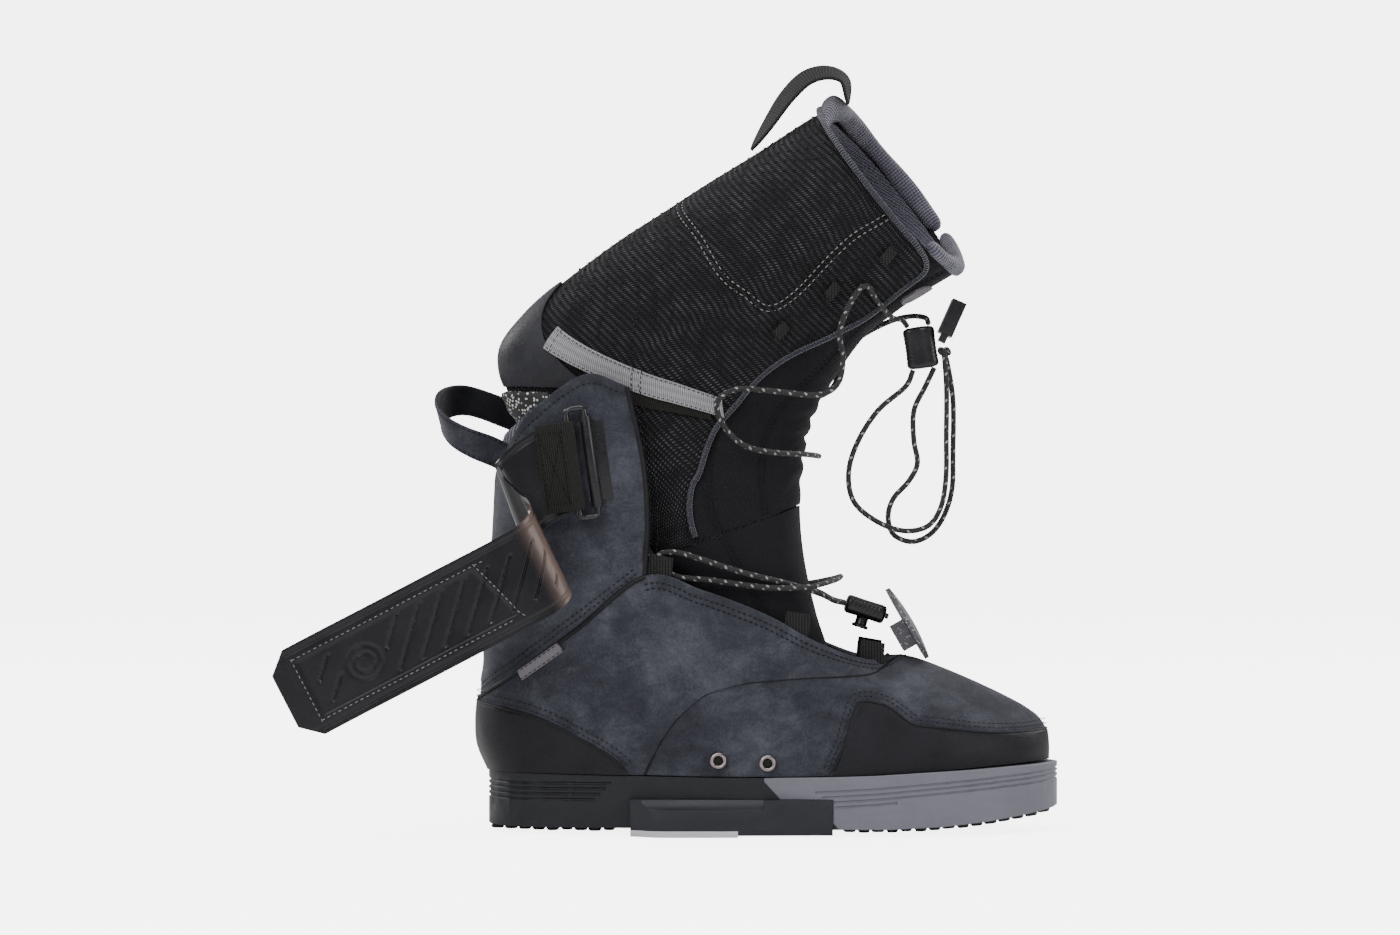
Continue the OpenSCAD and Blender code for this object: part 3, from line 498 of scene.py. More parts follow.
def bump(tree, shader, *layers):
    # layers of (height, depth in metres)
    last = None
    for height, depth in layers:
        inputs = {"Height": height, "Distance": depth, "Strength": 1.0}
        if last is not None:
            inputs["Normal"] = last
        last = addNode(tree, "ShaderNodeBump", inputs).outputs[0]
    tree.links.new(last, shader.inputs["Normal"])


def join(tree, shader, **links):
    for key, socket in links.items():
        tree.links.new(socket, shader.inputs[key.replace("_", " ")])


def overlaid(tree, share, base, colour):
    # a plain colour laid over a base by share
    laid = addNode(tree, "ShaderNodeMix", {0: share, 6: base, 7: (*colour, 1)}, data_type="RGBA")
    return laid.outputs[2]


def suedeFinish():
    cfg = {"cloud": 0.05, "patch": 0.016, "nap": 0.0012,
           "tones": [(0.30, (0.014, 0.0145, 0.021)), (0.45, (0.032, 0.033, 0.044)),
                     (0.58, (0.060, 0.062, 0.079)), (0.74, (0.112, 0.115, 0.140))]}
    material, tree, shader = newMaterial("brushedNubuck", 0.82, Sheen_Weight=0.10, Sheen_Roughness=0.45,
                                         Specular_IOR_Level=0.2)
    where = objectCoords(tree)
    clouds = noise(tree, where, cfg["cloud"], 4.0, 0.62, 0.6)
    patches = noise(tree, objectCoords(tree, (1, 1, 1.6), (0, 0.6, 0)), cfg["patch"], 5.0, 0.65, 0.9)
    nap = noise(tree, where, cfg["nap"], 2.0, 0.6)
    tone = maths(tree, "ADD", maths(tree, "MULTIPLY", clouds, 0.62), maths(tree, "MULTIPLY", patches, 0.33))
    tone = maths(tree, "MULTIPLY_ADD", maths(tree, "SUBTRACT", nap, 0.5), 0.26, tone)
    join(tree, shader, Base_Color=ramp(tree, tone, cfg["tones"]), Roughness=level(tree, nap, 0.72, 0.95))
    bump(tree, shader, (patches, 0.0006), (nap, 0.00022))
    return material


def smoothLeather(name, dark, light, rough, grain=0.0016):
    material, tree, shader = newMaterial(name, rough, Specular_IOR_Level=0.22)
    where = objectCoords(tree)
    pores = grains(tree, where, grain, "DISTANCE_TO_EDGE").outputs["Distance"]
    soft = noise(tree, where, 0.02, 3.0)
    join(tree, shader, Base_Color=ramp(tree, soft, [(0.3, dark), (0.7, light)]),
         Roughness=level(tree, soft, rough - 0.07, rough + 0.1, 0.3, 0.7))
    bump(tree, shader, (maths(tree, "MINIMUM", pores, 0.12), 0.0004), (noise(tree, where, 0.0006, 2.0), 0.00006))
    return material


def moulded(name, colour, rough, speck=0.0008, depth=0.00005, spread=0.15, **sockets):
    # moulded rubber or plastic with a fine spark-eroded grain and handling marks
    material, tree, shader = newMaterial(name, rough, **sockets)
    where = objectCoords(tree)
    grain = noise(tree, where, speck, 2.0, 0.6)
    marks = noise(tree, objectCoords(tree, (1, 1, 3)), 0.03, 5.0, 0.65, 0.4)
    low, high = (tuple(c * (1 + s * spread) for c in colour) for s in (-1, 1))
    join(tree, shader, Base_Color=ramp(tree, marks, [(0.3, low), (0.7, high)]),
         Roughness=level(tree, marks, max(0.05, rough - 0.08), min(1, rough + 0.1), 0.3, 0.7))
    bump(tree, shader, (grain, depth))
    return material


def metal(name, colour, rough, scratch=0.0005):
    material, tree, shader = newMaterial(name, rough, Metallic=1.0)
    brushed = noise(tree, objectCoords(tree, (1, 1, 0.05)), scratch, 2.0)
    low, high = (tuple(c * s for c in colour) for s in (0.85, 1.12))
    join(tree, shader, Base_Color=ramp(tree, brushed, [(0.3, low), (0.7, high)]),
         Roughness=level(tree, brushed, rough - 0.06, rough + 0.08, 0.3, 0.7))
    bump(tree, shader, (brushed, 0.00002))
    return material


def fleeceFinish(name, dark, light, rib=0.0026):
    material, tree, shader = newMaterial(name, 0.92, Sheen_Weight=0.45, Sheen_Roughness=0.5,
                                         Specular_IOR_Level=0.15)
    u, v = clothCoords(tree)
    where = objectCoords(tree)
    fuzz = noise(tree, where, 0.0009, 3.0, 0.7)
    ribs = wave(tree, u, rib)
    tufts = wave(tree, v, 0.0017)
    # colour follows the ribs: crests painted lighter and hollows painted darker as painted shade of the ribs,
    # mixed with the fuzz's own mottle
    tone = maths(tree, "MULTIPLY_ADD", ribs, 0.45, maths(tree, "MULTIPLY", fuzz, 0.6))
    join(tree, shader, Base_Color=ramp(tree, tone, [(0.25, dark), (0.8, light)]))
    bump(tree, shader, (ribs, 0.0007), (tufts, 0.00025), (fuzz, 0.0005))
    return material


def wovenFinish(name, dark, light, across, along, rough=0.75, twill=0.0, depth=0.0003, sheen=0.1):
    # plain or twill weave on the cloth coordinates
    material, tree, shader = newMaterial(name, rough, Sheen_Weight=sheen * 0.5, Specular_IOR_Level=0.15)
    u, v = clothCoords(tree)
    lean = maths(tree, "MULTIPLY_ADD", v, twill, u)
    warp = wave(tree, lean, across)
    weft = wave(tree, v, along)
    bind = maths(tree, "MULTIPLY", maths(tree, "POWER", warp, 0.7), level(tree, weft, 0.55, 1.0))
    fluff = noise(tree, objectCoords(tree), 0.0007, 3.0, 0.6)
    tone = maths(tree, "MULTIPLY_ADD", fluff, 0.35, maths(tree, "MULTIPLY", bind, 0.65))
    join(tree, shader, Base_Color=ramp(tree, tone, [(0.2, dark), (0.8, light)]))
    bump(tree, shader, (bind, depth), (fluff, depth * 0.4))
    return material


def linerMeshFinish():
    # light is the painted highlight on the pip tops, dark the painted shade in the hollows between them
    cfg = {"pitch": 0.0030, "dark": (0.0035, 0.0035, 0.0045), "mid": (0.015, 0.015, 0.018),
           "light": (0.095, 0.095, 0.108)}
    material, tree, shader = newMaterial("embossedMesh", 0.6, Specular_IOR_Level=0.22)
    u, v = clothCoords(tree)
    around = maths(tree, "MULTIPLY", u, 0.75)
    a = maths(tree, "MULTIPLY_ADD", v, 0.9, around)
    b = maths(tree, "MULTIPLY_ADD", v, -0.9, around)
    pips = maths(tree, "MULTIPLY", wave(tree, a, cfg["pitch"]), wave(tree, b, cfg["pitch"]))
    pipMottle = noise(tree, objectCoords(tree), 0.012, 4.0, 0.6)
    fine = noise(tree, objectCoords(tree), 0.0006, 2.0, 0.6)
    # each pip's top painted lighter and the hollows darker: painted highlight and shade on the pips, scaled by a
    # slow mottle and shifted by fine grain
    tone = maths(tree, "MULTIPLY", maths(tree, "POWER", pips, 0.8), level(tree, pipMottle, 0.35, 1.05, 0.3, 0.7))
    tone = maths(tree, "MULTIPLY_ADD", maths(tree, "SUBTRACT", fine, 0.5), 0.3, tone)
    join(tree, shader, Base_Color=ramp(tree, tone,
                                       [(0.05, cfg["dark"]), (0.4, cfg["mid"]), (0.95, cfg["light"])]),
         Roughness=level(tree, pips, 0.85, 0.55))
    bump(tree, shader, (pips, 0.0007), (fine, 0.0001))
    return material


def laceFinish():
    cfg = {"braid": 0.0016, "fleck": 0.0075, "dark": (0.006, 0.006, 0.007), "body": (0.022, 0.022, 0.024),
           "pale": (0.30, 0.30, 0.29)}
    material, tree, shader = newMaterial("braidedLace", 0.6, Specular_IOR_Level=0.35, Sheen_Weight=0.1)
    u, v = clothCoords(tree)
    a = wave(tree, maths(tree, "MULTIPLY_ADD", v, 0.85, u), cfg["braid"])
    b = wave(tree, maths(tree, "MULTIPLY_ADD", v, -0.85, u), cfg["braid"])
    braid = maths(tree, "MAXIMUM", a, b)
    spot = maths(tree, "MULTIPLY", wave(tree, maths(tree, "MULTIPLY_ADD", v, 0.8, u), cfg["fleck"]),
                 wave(tree, maths(tree, "MULTIPLY_ADD", v, -1.1, u), cfg["fleck"] * 0.62))
    spot = level(tree, spot, 0.0, 1.0, 0.62, 0.78)
    base = ramp(tree, braid, [(0.35, cfg["dark"]), (1.0, cfg["body"])])
    join(tree, shader, Base_Color=overlaid(tree, spot, base, cfg["pale"]))
    bump(tree, shader, (braid, 0.0003))
    return material


def speckFinish(name, base, pale, size, share, rough):
    material, tree, shader = newMaterial(name, rough)
    where = objectCoords(tree)
    cell = grains(tree, where, size)
    pick = maths(tree, "GREATER_THAN",
                 addNode(tree, "ShaderNodeSeparateXYZ", {0: cell.outputs["Color"]}).outputs[0], 1 - share)
    dot = maths(tree, "MULTIPLY", pick, maths(tree, "LESS_THAN", cell.outputs["Distance"], 0.42))
    cloud = ramp(tree, noise(tree, where, 0.01, 3.0),
                 [(0.3, tuple(c * 0.8 for c in base)), (0.7, tuple(c * 1.2 for c in base))])
    join(tree, shader, Base_Color=overlaid(tree, dot, cloud, pale),
         Roughness=level(tree, noise(tree, where, 0.02), rough - 0.08, rough + 0.08, 0.3, 0.7))
    bump(tree, shader, (noise(tree, where, 0.0008, 2.0), 0.00008))
    return material


def strapFinish():
    # flexible smoky plastic, nearly black along the strap; the smoky brown where it bends is painted light
    # shining through the thin plastic
    cfg = {"along": (-0.886, 0.0, -0.464), "bend": 0.0135, "reach": 0.012, "black": (0.004, 0.004, 0.0055),
           "brown": (0.105, 0.070, 0.058), "outside": (-0.088, -0.078)}
    material, tree, shader = newMaterial("smokyStrap", 0.3, Coat_Weight=0.12, Coat_Roughness=0.15,
                                         Specular_IOR_Level=0.3)
    where = objectCoords(tree)
    far = addNode(tree, "ShaderNodeVectorMath", {0: where, 1: cfg["along"]},
                  operation="DOT_PRODUCT").outputs["Value"]
    off = maths(tree, "ABSOLUTE", maths(tree, "SUBTRACT", far, cfg["bend"]))
    outside = level(tree, addNode(tree, "ShaderNodeSeparateXYZ", {0: where}).outputs[1], 1.0, 0.0,
                    *cfg["outside"])
    near = maths(tree, "MULTIPLY", level(tree, off, 1.0, 0.0, 0.003, cfg["reach"]), outside)
    smoke = noise(tree, where, 0.03, 3.0)
    body = ramp(tree, smoke, [(0.3, cfg["black"]), (0.7, tuple(c * 2.2 for c in cfg["black"]))])
    # brown laid on near the bend's outer side: painted light shining through the plastic
    brown = overlaid(tree, maths(tree, "POWER", near, 1.6), body, cfg["brown"])
    join(tree, shader, Base_Color=brown, Roughness=level(tree, smoke, 0.18, 0.34, 0.3, 0.7))
    bump(tree, shader, (noise(tree, where, 0.0009, 2.0), 0.00002))
    return material


suede = suedeFinish()
randLeather = smoothLeather("matteRand", (0.006, 0.006, 0.0085), (0.012, 0.012, 0.016), 0.46)
heelLeather = smoothLeather("linerHeelLeather", (0.014, 0.014, 0.018), (0.028, 0.028, 0.034), 0.45, 0.0012)
pipingBlack = smoothLeather("blackPiping", (0.006, 0.006, 0.008), (0.014, 0.014, 0.017), 0.5, 0.0008)
soleBlack = moulded("blackRubber", (0.013, 0.0135, 0.017), 0.5, Specular_IOR_Level=0.3)
soleGrey = moulded("greyFoam", (0.150, 0.150, 0.180), 0.48, 0.0006, 0.00006, 0.07, Specular_IOR_Level=0.3)
chassisPlastic = moulded("chassisPlastic", (0.020, 0.0205, 0.026), 0.42, Specular_IOR_Level=0.3)
palePlastic = moulded("paleBasePad", (0.52, 0.52, 0.56), 0.55, spread=0.08)
steel = metal("zincSteel", (0.50, 0.50, 0.52), 0.35)
gunmetal = metal("gunmetalEyelet", (0.34, 0.285, 0.285), 0.30)
blackSteel = moulded("glossBlackSteel", (0.010, 0.010, 0.012), 0.18, 0.002, 0.00001, 0.1, Coat_Weight=0.2,
                     Coat_Roughness=0.08)
lockPlastic = moulded("lockPlastic", (0.009, 0.009, 0.011), 0.28, 0.0008, 0.00003, Specular_IOR_Level=0.4)
speckled = speckFinish("speckledGrey", (0.075, 0.075, 0.085), (0.30, 0.30, 0.31), 0.0012, 0.3, 0.5)
linerSoleRubber = speckFinish("speckledSole", (0.012, 0.012, 0.013), (0.62, 0.62, 0.6), 0.0017, 0.42, 0.7)
strapPlastic = strapFinish()
fleece = fleeceFinish("ribbedFleece", (0.032, 0.030, 0.050), (0.175, 0.165, 0.225), 0.0017)
ribTrim = fleeceFinish("ribbedTrim", (0.006, 0.006, 0.014), (0.024, 0.024, 0.046), 0.0016)
boardFibre = wovenFinish("fibreBoard", (0.02, 0.02, 0.022), (0.07, 0.07, 0.075), 0.002, 0.002)
webbing = wovenFinish("blackWebbing", (0.006, 0.006, 0.006), (0.028, 0.028, 0.028), 0.0016, 0.0012)
hookCloth = wovenFinish("hookWebbing", (0.0055, 0.0055, 0.005), (0.024, 0.023, 0.021), 0.0012, 0.0010,
                        depth=0.0003)
greyWebbing = wovenFinish("greyWebbing", (0.14, 0.135, 0.145), (0.42, 0.41, 0.43), 0.0011, 0.0040, depth=0.0003)
linerKnit = wovenFinish("stretchTwill", (0.0035, 0.0035, 0.0045), (0.015, 0.015, 0.019), 0.0011, 0.0011, 0.8, 0.7,
                        0.00012, 0.05)
linerMesh = linerMeshFinish()
lace = laceFinish()
labelCloth = wovenFinish("wovenLabel", (0.12, 0.11, 0.125), (0.27, 0.255, 0.28), 0.0007, 0.0011, 0.6,
                         depth=0.0001)
blackThread = wovenFinish("blackThread", (0.004, 0.004, 0.004), (0.016, 0.016, 0.017), 0.0005, 0.0005, 0.6)
paleThread = wovenFinish("paleThread", (0.32, 0.32, 0.33), (0.62, 0.62, 0.62), 0.0005, 0.0005, 0.6)
# near-black matte finish for discs that stand in for the shade inside holes
holeShade = moulded("holeShade", (0.0015, 0.0015, 0.0015), 0.9)
print("finishes ready")


# geometry node trees for what repeats along a line or over a surface
def newTree(name, **sizes):
    tree = bpy.data.node_groups.new(name, "GeometryNodeTree")
    tree.interface.new_socket("Geometry", in_out="INPUT", socket_type="NodeSocketGeometry")
    for key, value in sizes.items():
        kind = "NodeSocketInt" if isinstance(value, int) else "NodeSocketFloat"
        tree.interface.new_socket(key, in_out="INPUT", socket_type=kind).default_value = value
    tree.interface.new_socket("Finish", in_out="INPUT", socket_type="NodeSocketMaterial")
    tree.interface.new_socket("Geometry", in_out="OUTPUT", socket_type="NodeSocketGeometry")
    return tree, tree.nodes.new("NodeGroupInput"), tree.nodes.new("NodeGroupOutput")


def finishTree(tree, source, target, instances):
    real = addNode(tree, "GeometryNodeRealizeInstances", {0: instances})
    done = addNode(tree, "GeometryNodeSetMaterial",
                   {"Geometry": real.outputs[0], "Material": source.outputs["Finish"]})
    tree.links.new(done.outputs[0], target.inputs[0])


def stitchTree():
    # short rounded threads laid end to end along each line
    tree, source, target = newTree("stitches", pitch=0.003, stitch=0.0021, thread=0.0006)
    line = addNode(tree, "GeometryNodeMeshToCurve", {0: source.outputs["Geometry"]})
    even = addNode(tree, "GeometryNodeResampleCurve",
                   {"Curve": line.outputs[0], "Length": source.outputs["pitch"]}, mode="LENGTH")
    tangent = addNode(tree, "GeometryNodeInputTangent")
    turn = addNode(tree, "FunctionNodeAlignRotationToVector", {"Vector": tangent.outputs[0]}, axis="Z")
    thread = addNode(tree, "GeometryNodeMeshUVSphere", {"Segments": 6, "Rings": 4, "Radius": 0.5})
    size = addNode(tree, "ShaderNodeCombineXYZ",
                   {0: source.outputs["thread"], 1: source.outputs["thread"], 2: source.outputs["stitch"]})
    laid = addNode(tree, "GeometryNodeInstanceOnPoints",
                   {"Points": even.outputs[0], "Instance": thread.outputs[0],
                                                         "Rotation": turn.outputs[0], "Scale": size.outputs[0]})
    finishTree(tree, source, target, laid.outputs[0])
    return tree


def pipingTree():
    # a round cord sewn along each line
    tree, source, target = newTree("piping", radius=0.001)
    line = addNode(tree, "GeometryNodeMeshToCurve", {0: source.outputs["Geometry"]})
    ring = addNode(tree, "GeometryNodeCurvePrimitiveCircle",
                   {"Resolution": 8, "Radius": source.outputs["radius"]})
    tube = addNode(tree, "GeometryNodeCurveToMesh",
                   {"Curve": line.outputs[0], "Profile Curve": ring.outputs[0], "Fill Caps": True})
    finishTree(tree, source, target, tube.outputs[0])
    return tree


def studTree():
    # small flat-topped studs standing on points, each turned to its point's own facing
    tree, source, target = newTree("studs", radius=0.001, height=0.0005, sides=12, jitter=0.0)
    facing = addNode(tree, "GeometryNodeInputNamedAttribute", {"Name": "facing"}, data_type="FLOAT_VECTOR")
    turn = addNode(tree, "FunctionNodeAlignRotationToVector", {"Vector": facing.outputs[0]}, axis="Z")
    stud = addNode(tree, "GeometryNodeMeshCone",
                   {"Vertices": source.outputs["sides"], "Radius Top": 0.78, "Radius Bottom": 1.0, "Depth": 1.0})
    wobble = addNode(tree, "FunctionNodeRandomValue", {2: 0.9, 3: 1.1, "Seed": 3}, data_type="FLOAT")
    wide = addNode(tree, "ShaderNodeMath", {0: source.outputs["radius"], 1: wobble.outputs[1]},
                   operation="MULTIPLY")
    size = addNode(tree, "ShaderNodeCombineXYZ",
                   {0: wide.outputs[0], 1: wide.outputs[0], 2: source.outputs["height"]})
    laid = addNode(tree, "GeometryNodeInstanceOnPoints",
                   {"Points": source.outputs["Geometry"], "Instance": stud.outputs[0],
                                                         "Rotation": turn.outputs[0], "Scale": size.outputs[0]})
    finishTree(tree, source, target, laid.outputs[0])
    return tree


stitches, piping, studs = stitchTree(), pipingTree(), studTree()


def runTree(name, carrier, tree, finish, **sizes):
    # sets the inputs by identifier, evaluates the tree and keeps its result as a plain mesh
    modifier = carrier.modifiers.new("made", "NODES")
    modifier.node_group = tree
    sizes["Finish"] = finish
    for item in tree.interface.items_tree:
        if item.item_type == "SOCKET" and item.in_out == "INPUT" and item.name in sizes:
            modifier[item.identifier] = sizes[item.name]
    evaluated = carrier.evaluated_get(bpy.context.evaluated_depsgraph_get())
    mesh = bpy.data.meshes.new_from_object(evaluated)
    mesh.name = name
    obj = addObject(name, mesh)
    bpy.data.objects.remove(carrier)
    if not mesh.uv_layers:
        mesh.uv_layers.new(name="cloth")
    elif "cloth" not in mesh.uv_layers:
        mesh.uv_layers[0].name = "cloth"
    soften(obj, 60)
    return obj


def alongLines(name, tree, lines, finish, **sizes):
    # carrier mesh of open polylines
    points, edges = [], []
    for line in lines:
        start = len(points)
        points += [tuple(p) for p in line]
        edges += [(start + i, start + i + 1) for i in range(len(line) - 1)]
    mesh = bpy.data.meshes.new(name + "Lines")
    mesh.from_pydata(points, edges, [])
    carrier = addObject(name + "Lines", mesh)
    return runTree(name, carrier, tree, finish, **sizes)


def onPoints(name, tree, points, facing, finish, **sizes):
    mesh = bpy.data.meshes.new(name + "Points")
    mesh.from_pydata([tuple(p) for p in points], [], [])
    attribute = mesh.attributes.new("facing", "FLOAT_VECTOR", "POINT")
    attribute.data.foreach_set("vector", np.asarray(facing, np.float32).ravel())
    carrier = addObject(name + "Points", mesh)
    return runTree(name, carrier, tree, finish, **sizes)


def sew(name, lines, body, finish, **sizes):
    # a row of stitches along each line
    return place(alongLines(name, stitches, lines, finish, **sizes), body, "lace", finish)


# camera, lights and floor
def buildStage():
    cfg = {"eye": (-0.0154, -2.5, 0.1988), "lens": 116.9, "flat": 5.0, "rise": 9.0, "white": 0.85, "ambient": 0.5,
           "glow": 5.0}
    camera = addObject("camera", bpy.data.cameras.new("camera"))
    camera.location = cfg["eye"]
    camera.rotation_euler = (math.pi / 2, 0, 0)
    camera.data.lens, camera.data.sensor_width = cfg["lens"], 36.0
    camera.data.clip_start, camera.data.clip_end = 0.05, 60.0
    bpy.context.scene.camera = camera
    # key from the front left, fill from the right, two rims from behind, one from above
    lamps = [("key", (-1.6, -2.6, 2.2), 2.0, 62), ("fill", (2.6, -1.9, 1.2), 1.6, 26),
             ("rimLeft", (-2.4, 1.6, 1.5), 1.2, 34), ("rimRight", (2.2, 2.0, 1.8), 1.2, 34),
             ("top", (0.2, -0.3, 3.0), 2.2, 46)]
    for name, at, size, power in lamps:
        data = bpy.data.lights.new(name, "AREA")
        data.shape, data.size, data.energy = "DISK", size, power
        lamp = addObject(name, data)
        lamp.location = at
        lamp.rotation_euler = (Vector((0, 0, 0.2)) - Vector(at)).to_track_quat("-Z", "Y").to_euler()
        lamp.visible_camera = False
    world = bpy.data.worlds.new("studio")
    bpy.context.scene.world = world
    world.use_nodes = True
    world.node_tree.nodes["Background"].inputs[0].default_value = (1, 1, 1, 1)
    world.node_tree.nodes["Background"].inputs[1].default_value = cfg["ambient"]
    # a shallow dish: flat under the object, rising far away so that no horizon shows
    run = np.concatenate([[0.001], np.linspace(0.5, cfg["flat"], 6),
                          cfg["flat"] + (cfg["rise"] - cfg["flat"]) * np.linspace(0.1, 1, 14)])
    rise = np.where(run > cfg["flat"],
                    (np.clip((run - cfg["flat"]) / (cfg["rise"] - cfg["flat"]), 0, 1)) ** 2 * 4.0, 0)
    q = np.linspace(0, 2 * math.pi, 97)
    grid = np.stack([run[:, None] * np.cos(q), run[:, None] * np.sin(q), np.repeat(rise[:, None], len(q), 1)], -1)
    floor = addMesh("floor", grid.reshape(-1, 3), gridFaces(len(run), len(q)), merge=1e-5)
    material, tree, shader = newMaterial("paleFloor", 0.9, Specular_IOR_Level=0.1)
    shader.inputs["Base Color"].default_value = (cfg["white"],) * 3 + (1,)
    # the floor glows for the camera alone, so the backdrop is white and the object keeps its own light
    seen = addNode(tree, "ShaderNodeLightPath").outputs["Is Camera Ray"]
    shader.inputs["Emission Color"].default_value = (1, 1, 1, 1)
    tree.links.new(maths(tree, "MULTIPLY", seen, cfg["glow"]), shader.inputs["Emission Strength"])
    floor.data.materials.append(material)


buildStage()
print("camera, lights and floor ready")


# the two free cord loops that hang from the upper lock
def buildCordLoops():
    cfg = {"diameter": 0.003, "points": 110,
           "outer": [[101.3, -10, 252], [97, -11, 243], [82, -12, 230], [71, -12, 213], [66, -10, 196],
                     [69, -8, 180], [82, -7, 169], [97, -6, 164], [110, -6, 167], [117, -7, 178],
                     [119.5, -8, 195], [119.5, -10, 215], [119.5, -13, 240], [118.5, -14, 256],
                     [117.5, -14, 264.5]],
           "inner": [[112.9, -10, 253.4], [108, -8, 243], [102, -5, 230], [102, -3, 214], [104, -3, 201],
                     [99, -3, 191], [91, -2, 182], [88, -1, 172], [91, 0, 162], [101, 0, 158], [111, -1, 162],
                     [118.5, -2, 172], [123, -3, 187], [123.5, -4, 207], [123.5, -5, 235], [120.5, -6, 255],
                     [118, -6, 264.5]]}
    for side in ("outer", "inner"):
        path = smoothLine(np.array(cfg[side]) * mm, cfg["points"])
        loop = sweep(side + "CordLoop", path, cfg["diameter"] / 2, sides=14)
        place(loop, "liner", "lace", lace, "upper_cord_loop_" + side)


buildCordLoops()


# outer boot: suede panels over the ruled surfaces
def patch(surface, a0, a1, na, low, high, nv, lift=0.0):
    # grid of points over part of a surface, standing off it by lift, a number or a function of (a, v, points)
    a, t = np.linspace(a0, a1, na), np.linspace(0, 1, nv)
    lows, highs = (np.array([edge(x) for x in a]) if callable(edge) else np.full(na, edge)
                   for edge in (low, high))
    aa = np.repeat(a[:, None], nv, 1).ravel()
    vv = (lows[:, None] * (1 - t) + highs[:, None] * t).ravel()
    p, n = surface(aa, vv), normalsOf(surface, aa, vv)
    n[np.linalg.norm(n, axis=1) < 0.5] = (0, 0, 1)
    off = lift(aa, vv, p) if callable(lift) else np.full(len(p), lift)
    return (p + n * off[:, None]).reshape(na, nv, 3)


def panel(name, grids, thick, edge=0.0006, merge=2e-5, crease=50):
    # outward sheets of points, joined where they meet, given a wall inwards and rounded edges
    points, faces, uvs, start = [], [], [], 0
    for grid in grids:
        nu, nv = grid.shape[:2]
        points.append(grid.reshape(-1, 3))
        uvs.append(lengthUv(grid).reshape(-1, 2))
        faces.append(gridFaces(nu, nv, start, True))
        start += nu * nv
    obj = addMesh(name, np.concatenate(points), np.concatenate(faces), np.concatenate(uvs), merge=merge,
                  turn=False, crease=180)
    wall = obj.modifiers.new("wall", "SOLIDIFY")
    wall.thickness, wall.offset, wall.use_even_offset = thick, -1, False
    bake(obj).data.name = name
    return roundEdges(obj, edge) if edge else (soften(obj, crease) or obj)


vampSeam = np.array([(3.98, 0.0), (4.10, 0.25), (4.24, 0.51), (4.51, 0.85), (5.04, 1.31), (5.74, 1.70),
                     (6.43, 1.95), (7.16, 2.22), (7.75, 2.50), (8.25, 2.72), (8.72, 2.86), (9.05, 3.0)])
shellCfg = {"suede": 0.003, "vampSunk": 0.0009, "throat": 2.985, "quarterEnd": 9.0, "capFrom": 7.15,
            "counterTo": 3.75,
            "rand": 0.0016, "randGap": 0.0009}


def seamV(a):
    return float(np.interp(abs(a), vampSeam[:, 0], vampSeam[:, 1]))


def capLine(a):
    s = min(a, 2 * toeStation - a) - shellCfg["capFrom"]
    rise = mix(0.05, 1, smooth(s / 0.55))
    return float(rise * mix(1.85, 1.5, smooth((s - 0.9) / 0.8)) + 0.32 * smooth((s - 3) / 2.6))


def counterLine(a):
    return float(mix(2.85, 0.06, (abs(a) / shellCfg["counterTo"]) ** 1.6))


shellStitches, shellPiping = [], []


def buildUppers():
    cfg = {"pinch": 0.0005, "width": 0.0030, "puff": 0.0007, "rows": (0.0025, 0.0055)}
    for side, word in ((-1, "Near"), (1, "Far")):
        ends = (-shellCfg["quarterEnd"], 0.0) if side < 0 else (0.0, shellCfg["quarterEnd"])
        throat = [(side * a, 2.93) for a in np.linspace(4.0, 9.0, 14)]
        rows = [shifted(lowerSurface, throat, side * by, 0.0) for by in cfg["rows"]]
        ankle = [(side * a, 2.97) for a in np.linspace(0.05, 4.0, 12)]
        seam = [(side * a, v) for a, v in vampSeam]

        def relief(a, v, p, rows=rows, seam=seam):
            sewn = nearness(p, rows, cfg["width"])
            edge = nearness(p, [lineOn(lowerSurface, seam, 0.0)], 0.004)
            full = cfg["puff"] * smooth((v - 0.1) / 0.5) * smooth((3 - v) / 0.3)
            return full - cfg["pinch"] * sewn - 0.4 * cfg["puff"] * edge

        top = lambda a: max(seamV(a) + 0.02, shellCfg["throat"])
        sheet = patch(lowerSurface, *ends, 260, seamV, top, 80, relief)
        quarter = panel("quarter" + word, [sheet], shellCfg["suede"], 0.0008)
        place(quarter, "shell", "suede", suede, "quarter_near" if side < 0 else "quarter_far")
        shellStitches.extend(shifted(lowerSurface, throat, side * by, 0.0004) for by in cfg["rows"])
        shellPiping.append((lineOn(lowerSurface, seam, -0.0006, 160), 0.0007))
        shellPiping.append((lineOn(lowerSurface, ankle, 0.0001, 120), 0.0013))
    sunk = -shellCfg["vampSunk"]
    halves = []
    for side in (-1, 1):
        ends = (-13.0, -4.0) if side < 0 else (4.0, 13.0)
        top = lambda a: min(3.0, seamV(a) + 0.12)
        lift = lambda a, v, p: sunk + 0.0011 * smooth((np.abs(a) - 8.4) / 1.4) + 0.0004 * smooth(v / 0.4)
        halves.append(patch(lowerSurface, *ends, 240, 0.0, top, 70, lift))
    vamp = panel("vampPanel", halves, shellCfg["suede"] - 0.001, 0.0)
    place(vamp, "shell", "suede", suede, "vamp")


